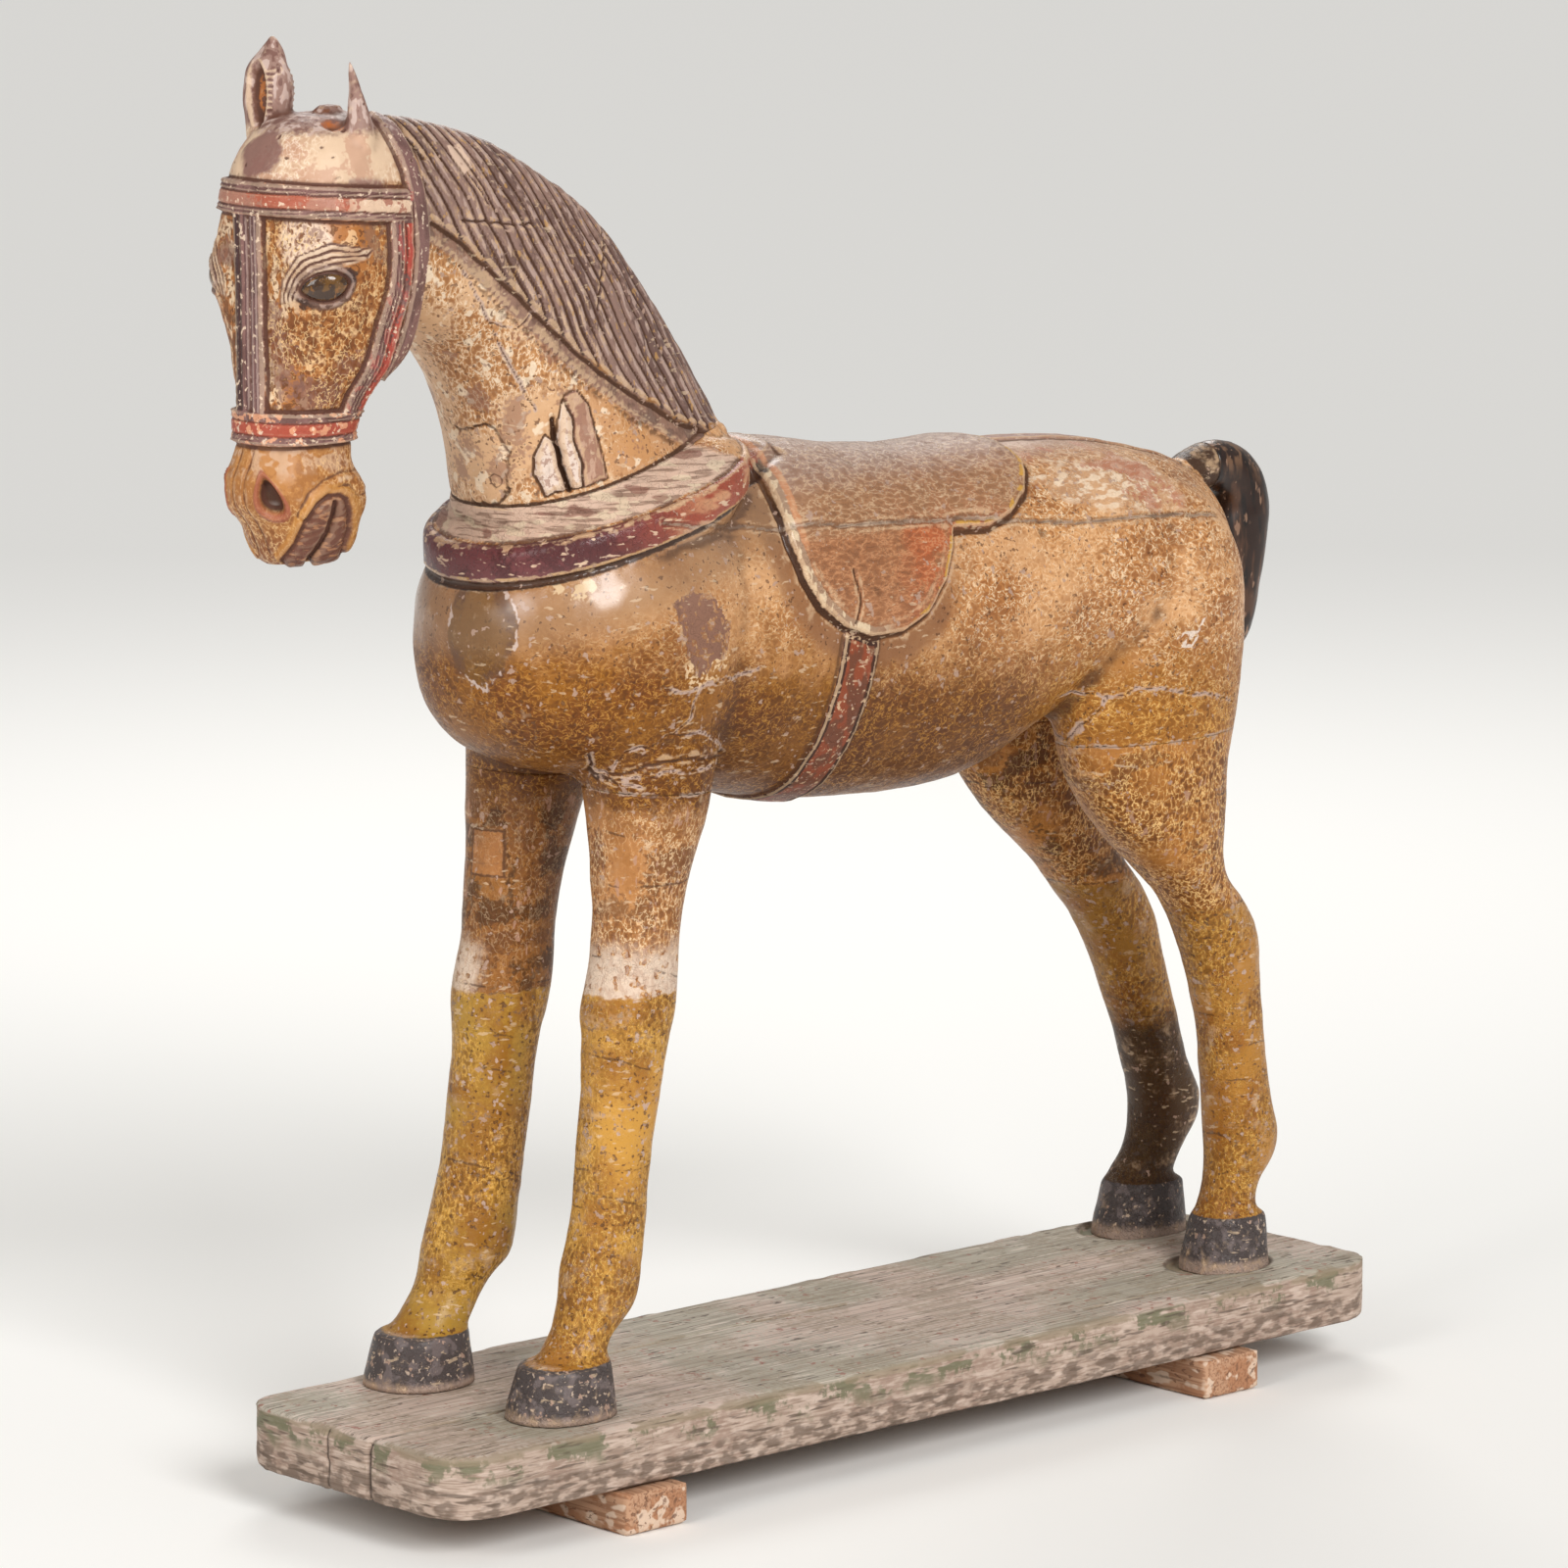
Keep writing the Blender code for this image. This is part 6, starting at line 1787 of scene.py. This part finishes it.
def lower_leg(p, m, front, near):
    """A pale band on the front knees, mustard yellow below them and below the hocks, and painted shade low
    on the far rear leg.
    """
    knee_foot, knee_top, higher = KNEE_BAND
    knee = {0: near, 1: -higher, 2: m.Z}
    height = p.add("ShaderNodeMath", knee, operation="MULTIPLY_ADD")
    knee_low = p.step(height, knee_foot, 4, 3, PATCH)
    pale = p.product(front, knee_low, p.below(height, knee_top, 34, 9, PATCH))
    outer = {0: near, 1: p.step(m.Y, 74, 16, 6, PATCH)}
    pale = p.product(pale, p.add("ShaderNodeMath", outer, operation="MAXIMUM"))
    p.coat("DCC5B0", pale, p.spots(DAB, 0.80, low=True, soft=0.1), 0.9, rough=0.45)
    p.coat("C0A08A", pale, p.spots(FLECK, 0.35, UPRIGHT, low=True, soft=0.1), 0.6)
    p.coat("B59A7C", pale, p.outside(near), p.spots(MIST, 0.5, soft=0.2), 0.6)
    below = p.product(front, p.outside(knee_low))
    rear_low = p.product(p.outside(front), p.below(m.Z, HOCK_LEVEL, 8, 4, PATCH))
    mustard = p.add("ShaderNodeMath", {0: below, 1: rear_low}, operation="MAXIMUM")
    # The far rear leg is painted dark low down: painted shade
    far_rear_painted_shade = p.product(rear_low, p.outside(near), p.below(m.Z, 225, 40, 8, PATCH))
    p.coat("C8933F", mustard, 0.92, rough=0.32)
    p.coat("8E7428", mustard, p.outside(near), p.spots(DRIFT, 0.5, soft=0.3), 0.6)
    p.coat("8A521C", mustard, p.spots(MIST, 0.4, soft=0.25), 0.7)
    p.coat("8E5316", rear_low, 0.5)
    fine = p.grain(FINE_CRAZING, LEG_STRETCH)
    net = p.product(mustard, p.spots(DRIFT, 0.6, low=True, soft=0.16), 0.6)
    p.crazed(fine, net, "5E3A12", "E0B05C", 0.35)
    p.coat("54351E", mustard, p.spots(FLECK, 0.09), 0.8, height=-0.25)
    p.coat("BDA192", mustard, p.spots(DAB, 0.0, low=True), 0.85, rough=0.6, height=-0.2)
    p.coat("301D10", far_rear_painted_shade, 0.88)


print("knee band", KNEE_BAND[:2], "hocks", HOCK_LEVEL)

# %% Lines, the let-in patch and hooves
# Levels of the dark lines round the legs, tilted ones first
TILTED_LINES = (72, 170, 205, 300, 420)
LEVEL_LINES = (193, 229, 380, 496)
LINE_TILT = 0.35
# The patch let into the far front leg: its x, its sides, its foot and top, and its dark border
PATCH_X = -345
PATCH_SIDES = (55, 93)
PATCH_HEIGHTS = (483, 529)
PATCH_BORDER = 2.5
HOOF_LINE = 50.5


def rectangle(p, m, inset):
    """The patch's shape, made smaller all round by an inset."""
    sides = []
    for axis, (low, high) in (("Y", PATCH_SIDES), ("Z", PATCH_HEIGHTS)):
        sides.append(p.within(getattr(m, axis), low + inset, high - inset, 1.5, 0.8))
    return sides


def leg_details(p, m):
    """Broken lines round the legs, the let-in patch, and black hooves with chips."""
    tilt = p.add("ShaderNodeMath", {0: m.X, 1: LINE_TILT, 2: m.Z}, operation="MULTIPLY_ADD")
    for height, levels, broken in (
        (tilt, TILTED_LINES, p.spots(MIST, 0.35)),
        (m.Z, LEVEL_LINES, p.spots(MIST, 0.4, low=True)),
    ):
        for level in levels:
            line = p.within(height, level - 1.0, level + 1.0, 1.0, 1.6, PATCH)
            p.coat("40281A", line, broken, 0.6)
    inlay = p.product(p.below(m.X, PATCH_X, 8), *rectangle(p, m, 0))
    core = p.product(*rectangle(p, m, PATCH_BORDER))
    p.coat("B87C4A", inlay, 0.5)
    p.coat("4A2C1A", inlay, p.outside(core), 0.8, height=-0.5)
    hoof = p.below(m.Z, HOOF_LINE, 1.2, 0.6)
    p.coat("4C4341", hoof, rough=0.36)
    p.coat("7B6E6C", hoof, p.spots(PATCH, 0.3, soft=0.1), 0.6)
    p.coat("BCA796", hoof, p.spots(FLECK, 0.05), 0.8, rough=0.7, height=-0.25)
    p.coat("B59C8C", hoof, p.below(m.Z, 6, 9, 3), 0.75, rough=0.8)


print("dark lines round the legs", len(TILTED_LINES) + len(LEVEL_LINES))


# %% The finishes of legs and tail
def leg_finish():
    """Ochre above the knee, a pale band, mustard yellow below it and black hooves."""
    p, m = body_paint("mustard oil paint, black hooves")
    front = p.below(m.X, 0, 10)
    near = p.below(m.Y, 0, 10)
    upper_leg(p, m, front, near)
    lower_leg(p, m, front, near)
    leg_details(p, m)
    mends(p, m)
    return p.finished()


def tail_finish():
    """Nearly black oil paint, rubbed brown on the ridge."""
    p = Finish("black-brown oil paint", "2A1810", 0.28)
    m = p.measures()
    p.coat("583A28", p.spots(PATCH, 0.35, (1, 1, 4), soft=0.1), 0.75)
    p.coat("7A5A42", p.step(m.Z, 796, 30, 8, PATCH), p.spots(DAB, 0.5, (1, 1, 4), soft=0.12), 0.7)
    p.coat("120C0A", p.spots(DAB, 0.35, (1, 1, 5), soft=0.1), 0.7)
    p.coat("8F6E58", p.spots(FLECK, 0.05, (1, 1, 4)), 0.85, height=-0.2)
    # Darker in the hollows: dirt and painted shade
    p.coat("241713", p.step(m.hollow, 0.2, 0.4), 0.7)
    return p.finished()


PAINTS["leg_paint"] = leg_finish()
PAINTS["tail_paint"] = tail_finish()
print("finishes so far", list(PAINTS))

# %% [markdown]
# ## Paint on the head
# The head has the same ground, rubbed to cream on the forehead. The straps are a brownish mauve
# with red where the first paint shows, lids and ears are grey-brown, and the eye is a dark amber
# glaze that still shines.

# %% Face paint
# Heights where the muzzle's yellow ends and where the forehead's cream starts
MUZZLE_TOP = 932
FOREHEAD_FOOT = 1164


def face_paint(p, m):
    """Cream forehead, tan cheeks with brown stains and a painted highlight, and a yellow muzzle."""
    brow = p.step(m.Z, FOREHEAD_FOOT, 10)
    cheeks = p.product(p.outside(brow), p.step(m.Z, MUZZLE_TOP, 12))
    muzzle = p.below(m.Z, MUZZLE_TOP, 12)
    back = p.step(m.X, -590, 14)
    p.coat("D9BDA0", brow, 0.9, rough=0.45)
    p.coat("B8876F", brow, p.spots(MIST, 0.3), 0.6)
    p.coat("A86A36", cheeks, p.spots(DRIFT, 0.6, soft=0.1), 0.85)
    p.coat("DDB486", cheeks, p.spots(PATCH, 0.2), 0.8)
    # A pale round spot on the cheek, before and above the eye: a painted highlight
    p.coat("EAD2BC", cheeks, p.near(-696, -62, 1118, 26, 6, PATCH), 0.8)
    rubbed = p.product(cheeks, p.below(m.X, -696, 12))
    p.coat("EBD0AE", rubbed, p.spots(DAB, 0.4, UPRIGHT), 0.8)
    lower = p.product(cheeks, p.below(m.Z, 1065, 60))
    p.coat("6A3F24", cheeks, p.spots(FLECK, 0.28, low=True), 0.85, rough=0.6, height=-0.3)
    p.coat("6A3F24", lower, p.spots(DAB, 0.36, UPRIGHT, low=True), 0.85, rough=0.6, height=-0.3)
    p.coat("7E5A50", cheeks, p.spots(MIST, 0.16), 0.75, rough=0.5)
    p.coat("B98348", back, p.below(m.Z, 1190, 20), 0.75)
    p.coat("B47C46", muzzle, 0.85, rough=0.36)
    p.coat("CFAE92", muzzle, p.step(m.Z, 905, 12, 6, PATCH), p.spots(PATCH, 0.5), 0.6)
    p.coat("9C6536", muzzle, p.spots(MIST, 0.34, soft=0.06), 0.75)
    p.coat("86563A", muzzle, p.below(m.Z, 846, 26, 4), 0.75)
    fine = p.grain(HEAD_CRAZING, (1.0, 1.0, 1.5))
    all_over = p.product(p.spots(DRIFT, 0.6, low=True, soft=0.16), 0.75)
    p.crazed(fine, p.product(all_over, p.outside(brow)), "7A441E", "E6BC86", 0.3)
    p.crazed(fine, p.product(all_over, brow, 0.6), "A97A5E", "F6E6D2", 0.3)
    p.coat("7C5650", p.near(-690, -2, 1190, 24, 5, PATCH), 0.9, rough=0.6)
    p.coat("80605C", p.near(-630, -80, 1170, 20, 5, DAB), p.step(m.strap, -8, 6), 0.7)
    p.coat("7C5E50", p.near(-618, -84, 1120, 28, 7, DAB), p.spots(DAB, 0.6), 0.55)


print("face changes colour at", MUZZLE_TOP, "and", FOREHEAD_FOOT, "mm")

# %% Bridle paint
# Dark lines along the strap down the middle of the face, from one of its edges
MIDDLE_LINES = (8.0, 14.0, 21.0)


def bridle_paint(p, m):
    """Mauve straps with fine dark lines, red where the older paint shows, cream where worn."""
    strap = p.step(m.strap, 0.4, 1.2)
    kinds = [p.product(strap, p.within(m.kind, n - 0.5, n + 0.5, 0.2)) for n in (1, 2, 3, 4)]
    nose, brow, middle, cheek = kinds
    flat = p.within(m.level, -6.5, 6.5, 0.8, 0.3)
    p.coat("84605A", strap, rough=0.42)
    p.coat("60423C", strap, p.spots(PATCH, 0.40, UPRIGHT, soft=0.15), 0.7)
    p.coat("B57C66", brow, flat, 0.8)
    p.coat("A9563F", brow, flat, p.spots(MIST, 0.4), 0.85)
    p.coat("DDBEA2", brow, flat, p.step(m.X, -655, 40), p.spots(DAB, 0.5), 0.9)
    p.coat("AD4C37", nose, flat, 0.85)
    p.coat("DC9C78", nose, p.spots(DAB, 0.3), 0.85)
    p.coat("AC4436", cheek, p.below(m.level, 4.0, 1.2, 0.4), p.spots(MIST, 0.7), 0.9)
    p.coat("A8504A", cheek, p.spots(DAB, 0.25, UPRIGHT, low=True), 0.7)
    p.coat("3E2B2C", middle, p.step(m.level, 29.0, 2.0, 0.5), 0.9, rough=0.5)
    for level in MIDDLE_LINES:
        p.coat("B39A92", middle, p.within(m.level, level, level + 2.4, 1.0, 0.4), 0.6)
        p.coat("54383A", middle, p.within(m.level, level + 2.6, level + 4.0, 0.8, 0.4), 0.7)
    p.coat("E2C8B0", strap, p.spots(FLECK, 0.10), 0.8)
    p.coat("4E3030", p.within(m.strap, -2.6, 0.2, 1.2, 0.5), p.spots(MIST, 0.75), 0.8, rough=0.6)


print("lines down the face", len(MIDDLE_LINES))


# %% Paint of eye, nostril and mouth
def eye_and_mouth(p, m):
    """Grey-brown lids, a glazed ball, rosy nostrils and a dark mouth."""
    around = p.below(m.eye, 2.1, 0.3, 0.15)
    p.coat("7A5E52", around, 0.85, rough=0.45)
    p.coat("523A32", around, p.spots(DAB, 0.45, low=True, soft=0.1), 0.7)
    folds = p.step(m.arch, 0.0, 4.0)
    p.coat("B3947C", folds, 0.7)
    p.coat("D8BEA6", folds, p.step(m.fold, 0.1, 0.9), p.spots(DAB, 0.6, LEVEL, soft=0.08), 0.7)
    p.coat("614640", folds, p.below(m.fold, -0.35, 0.8), 0.8)
    p.coat("3A2926", p.near(-660, -86, 1085, 7.5, 1.5), 0.9)
    p.coat("3F2A22", p.near(-698, -66, 1060, 7, 2), 0.85)
    p.coat("6E544C", p.near(-690, -76, 1040, 10, 3), 0.7)
    ball = p.below(m.eye, 0.96, 0.08)
    p.varnished(ball, 0.08)
    p.coat("3B2617", ball, rough=0.08)
    p.coat("6E4A1A", ball, p.spots(DAB, 0.5, soft=0.12), 0.7)
    p.coat("8A5A28", ball, p.spots(FLECK, 0.16, low=True), 0.6)
    p.coat("1C120E", p.within(m.eye, 0.86, 1.14, 0.08), 0.9)
    p.coat("AE958A", p.within(m.eye, 1.35, 1.8, 0.2), p.spots(DAB, 0.5), 0.5)
    rim = p.within(m.nostril, 0.97, 1.3, 0.12)
    p.coat("9C5646", rim, 0.7)
    p.coat("46302A", p.below(m.nostril, 0.95, 0.1), 0.92, rough=0.6)
    p.coat("9C918B", p.below(m.nostril, 0.75, 0.2), p.below(m.Z, 879, 6), 0.7)
    lips = p.step(m.lips, 1.0, 2.0)
    p.coat("BE8440", p.within(m.lips, -7.0, 1.5, 3.0, 0.6), 0.55)
    p.coat("613C34", lips, 0.88)
    p.coat("A87654", lips, p.spots(FLECK, 0.3, LEVEL), 0.7)
    p.coat("1D100D", p.below(m.slit, 2.2, 1.0), 0.95, rough=0.7)


print("eye", [2 * half for half in EYE_HALF], "mm")


# %% Ear paint and the head's finish
def ear_paint(p, m):
    """Grey-brown ears rubbed pale along the fibres, orange where they broke."""
    ears = p.step(m.Z, 1210, 10, 3)
    p.coat("8E6E66", ears, 0.9, rough=0.5)
    p.coat("D2BAB0", ears, p.spots(DAB, 0.32, UPRIGHT, soft=0.06), 0.65)
    p.coat("6E4A42", ears, p.spots(DAB, 0.3, UPRIGHT, low=True, soft=0.06), 0.75)
    inner = p.below(m.inner_ear, 1.05, 0.12, 0.08)
    p.coat("6A4536", inner, 0.92, rough=0.7)
    p.coat("B9713C", inner, p.below(m.inner_ear, 0.7, 0.3), p.spots(FLECK, 0.45), 0.85)
    p.coat("B5652F", p.near(*EAR_BREAK, 11, 2), 0.85, rough=0.7)
    p.coat("7A4A30", p.near(-614, 0, 1228, 20, 3), p.spots(DAB, 0.5), 0.8)


def head_finish():
    """Cream and tan oil paint, mauve bridle, glazed eye."""
    p = Finish("cream oil paint, mauve bridle, glazed eye", "AC7340", 0.38)
    m = p.measures(
        "strap", "kind", "level", "eye", "arch", "fold", "nostril", "lips", "slit", "inner_ear",
    )
    face_paint(p, m)
    bridle_paint(p, m)
    eye_and_mouth(p, m)
    ear_paint(p, m)
    # Darker in small hollows, dirt and painted shade, and in broad hollows, painted shade
    p.coat("53312A", p.step(m.hollow, 0.22, 0.30), 0.7, rough=0.6)
    p.coat("5E3B2A", p.step(m.sunk, 0.5, 1.2), 0.5)
    worn = p.add("ShaderNodeMath", {0: m.hollow, 1: -1.0}, operation="MULTIPLY")
    mouth = p.within(m.lips, -6.0, 60.0, 3.0)
    clear = (p.step(m.eye, 2.0, 0.3), p.step(m.nostril, 1.6, 0.3))
    edges = p.product(p.step(worn, 0.24, 0.28, 0.12), *clear)
    edges = p.product(edges, p.outside(mouth, 0.8), p.outside(p.step(m.arch, -2, 2), 0.6))
    p.coat("E3C6A6", edges, p.outside(p.step(m.strap, 0, 1), 0.5), 0.55)
    return p.finished()


PAINTS["head_paint"] = head_finish()
print("head paint", len(PAINTS["head_paint"].node_tree.nodes), "nodes")

# %% [markdown]
# ## Bare and painted wood below
# The board was painted grey-green and has weathered to bare grey-brown fibres, with green left in
# the hollows of its sides. The battens are later softwood, sawn and unpainted.


# %% Board and battens
def board_finish():
    """Weathered softwood with remains of green paint."""
    p = Finish("weathered softwood plank", "C6B8AB", 0.75)
    m = p.measures("crack", "pocket")
    top = p.step(m.Z, -4.0, 4.0)
    side = p.outside(top)
    along = (4, 4, 1)
    p.coat("A19B88", top, p.spots(CLOUD, 0.55, soft=0.12), 0.7)
    p.coat("C0A798", top, p.spots(CLOUD, 0.3, low=True, soft=0.12), 0.75)
    p.coat("7F7466", top, p.step(p.grain(2.6, (50, 1, 1)), 0.54, 0.10), 0.6, height=-0.25)
    p.coat("D6C7B8", top, p.spots(4.0, 0.12, (14, 1, 1), soft=0.06), 0.7)
    p.coat("4A3A2E", top, p.spots(FLECK, 0.04, (5, 1, 1)), 0.8)
    p.coat("93594A", top, p.spots(DAB, 0.08), p.spots(MIST, 0.35), 0.75)
    p.coat("B39C8C", side, 0.9)
    p.coat("7C6452", side, p.step(p.grain(2.4, (14, 14, 1)), 0.53, 0.16), 0.55, height=-0.25)
    p.coat("94796A", side, p.spots(DRIFT, 0.4, soft=0.25), p.spots(FLECK, 0.55, (2, 2, 1), soft=0.2), 0.65)
    p.coat("D6C1B2", side, p.spots(FLECK, 0.22, (5, 5, 1), soft=0.16), 0.5, height=0.2)
    green = p.product(p.spots(MIST, 0.4, soft=0.08), p.spots(DAB, 0.8, along, low=True, soft=0.1))
    p.coat("5F6244", side, green, p.step(m.Z, -26, 22, 8, PATCH), 0.8, rough=0.7)
    p.coat("4F4034", side, p.spots(FLECK, 0.14, (7, 7, 1), low=True, soft=0.1), 0.7)
    low = p.below(m.Z, -34.0, 8.0, 2.0, PATCH)
    p.coat("5E4C3E", side, low, p.spots(DAB, 0.5, (2, 2, 1), soft=0.16), 0.7)
    rub = p.within(m.Z, -9.0, -1.0, 3.0, 1.0)
    p.coat("8A7A62", rub, p.spots(PATCH, 0.6, along), 0.7)
    p.coat("2E241D", p.below(m.crack, 1.4, 1.0, 0.5), top, 0.9)
    # Darker in and round the hoof pockets: painted shade in the holes
    p.coat("5A4A3C", p.step(m.pocket, -2.0, 3.0), top, 0.7)
    # Darker in the hollows: dirt and painted shade
    p.coat("3B2F27", p.step(m.hollow, 0.35, 0.6), 0.7)
    return p.finished()


def batten_finish():
    """Sawn softwood, raw and orange."""
    p = Finish("sawn softwood batten", "B98F70", 0.8)
    m = p.measures()
    p.coat("A46E4A", p.spots(MIST, 0.45, soft=0.1), 0.7)
    p.coat("8A5D40", p.step(p.grain(3.0, (1, 30, 1)), 0.54, 0.12), 0.65, height=-0.2)
    p.coat("DCC3AC", p.spots(PATCH, 0.3, (1, 2, 1), soft=0.06), 0.8)
    p.coat("6A4632", p.spots(FLECK, 0.1, (1, 2, 1)), 0.7)
    # Darker in the hollows: dirt and painted shade
    p.coat("54382A", p.step(m.hollow, 0.2, 0.4), 0.6)
    return p.finished()


PAINTS["board_wood"] = board_finish()
PAINTS["batten_wood"] = batten_finish()
print("wood", [len(PAINTS[name].node_tree.nodes) for name in ("board_wood", "batten_wood")], "nodes")

# %% Floor paint
FLOOR_PAINT = Finish("matt white paper", "F8F7F4", 0.9).finished()
print("finishes", len(PAINTS), round(time.time() - STARTED, 1), "s")

# %% [markdown]
# ## Handing the pieces to the frame
# Nothing here moves, so every piece rides on the one body, stands in for its own solid and names
# the paint it takes from the record.

# %% Riding, replacing and slots
# A piece's paint is named after its first word: head_paint, leg_paint and so on
SLOTS = {name: name.split("_")[0] + "_paint" for name in pieces}
SLOTS.update(base_board="board_wood", batten_front="batten_wood", batten_rear="batten_wood")
for name, made in pieces.items():
    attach(made, "root")
    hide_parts(name)
    made.data.materials.clear()
    made.data.materials.append(PAINTS[SLOTS[name]])
print("pieces handed over", len(pieces))

# %% [markdown]
# ## Floor, light and camera
# A plain pale floor, one broad soft light from the right of the camera, weaker ones from the left
# and from behind, and a pale surrounding. The camera stands where the photographer did, far away
# with a long lens.

# %% Floor
FLOOR_HALF = 60.0
bm = bmesh.new()
bmesh.ops.create_grid(bm, x_segments=2, y_segments=2, size=FLOOR_HALF)
floor = mesh_object("floor", bm)
floor.data.materials.append(FLOOR_PAINT)
print("floor", 2 * FLOOR_HALF, "m wide")

# %% Lights
WARM_WHITE = (1.0, 0.99, 0.97)
LAMP_SIZE = 2.0
LAMP_TARGET = (0.0, 0.0, 0.7)
KEY_FROM = (-0.21, -0.83, 0.52)
KEY_STRENGTH = 2.2
KEY_WIDTH = 26
SURROUNDING_STRENGTH = 0.38


def area_light(name, place, power):
    """A square lamp that faces the figure's middle."""
    lamp = bpy.data.lights.new(name, "AREA")
    lamp.shape = "SQUARE"
    lamp.size = LAMP_SIZE
    lamp.energy = power
    lamp.color = WARM_WHITE
    made = bpy.data.objects.new(name, lamp)
    made.location = place
    made.rotation_euler = (Vector(LAMP_TARGET) - Vector(place)).to_track_quat("-Z", "Y").to_euler()
    bpy.context.scene.collection.objects.link(made)
    return made


def sun_light(name, towards, strength, width):
    """A far round lamp of a width in degrees, which lights horse and floor alike."""
    lamp = bpy.data.lights.new(name, "SUN")
    lamp.energy = strength
    lamp.angle = math.radians(width)
    made = bpy.data.objects.new(name, lamp)
    made.rotation_euler = Vector(towards).to_track_quat("Z", "Y").to_euler()
    bpy.context.scene.collection.objects.link(made)
    return made


sun_light("key", KEY_FROM, KEY_STRENGTH, KEY_WIDTH)
area_light("side", (-4.4, -0.6, 2.6), 70)
area_light("back", (2.6, 3.0, 3.4), 60)
world = bpy.data.worlds.new("surrounding")
bpy.context.scene.world = world
world.use_nodes = True
background = world.node_tree.nodes["Background"]
background.inputs["Color"].default_value = (*WARM_WHITE, 1.0)
background.inputs["Strength"].default_value = SURROUNDING_STRENGTH
print("lights", [light.name for light in bpy.data.lights])

# %% Camera
SENSOR = 36.0
LENS = 180.0
TURN = math.radians(-42.57)
LIFT = math.radians(9.65)
AWAY = 7.681
# How far the camera is shifted to the right and up, so that the whole figure is in the frame
AIM = (-0.040, 0.531)
right = Vector((math.cos(TURN), math.sin(TURN), 0))
back = Vector((math.sin(TURN) * math.cos(LIFT), -math.cos(TURN) * math.cos(LIFT), math.sin(LIFT)))
up = back.cross(right)
lens = bpy.data.cameras.new("camera")
lens.sensor_width = SENSOR
lens.lens = LENS
camera = bpy.data.objects.new("camera", lens)
camera.location = ZERO + back * AWAY + right * AIM[0] + up * AIM[1]
camera.rotation_euler = (-back).to_track_quat("-Z", "Y").to_euler()
bpy.context.scene.collection.objects.link(camera)
bpy.context.scene.camera = camera
bpy.context.scene.view_settings.view_transform = "Standard"
print("camera at", [round(v, 2) for v in camera.location])

# %% The last update and the time taken
bpy.context.view_layer.update()
print("whole script", round(time.time() - STARTED, 1), "s")
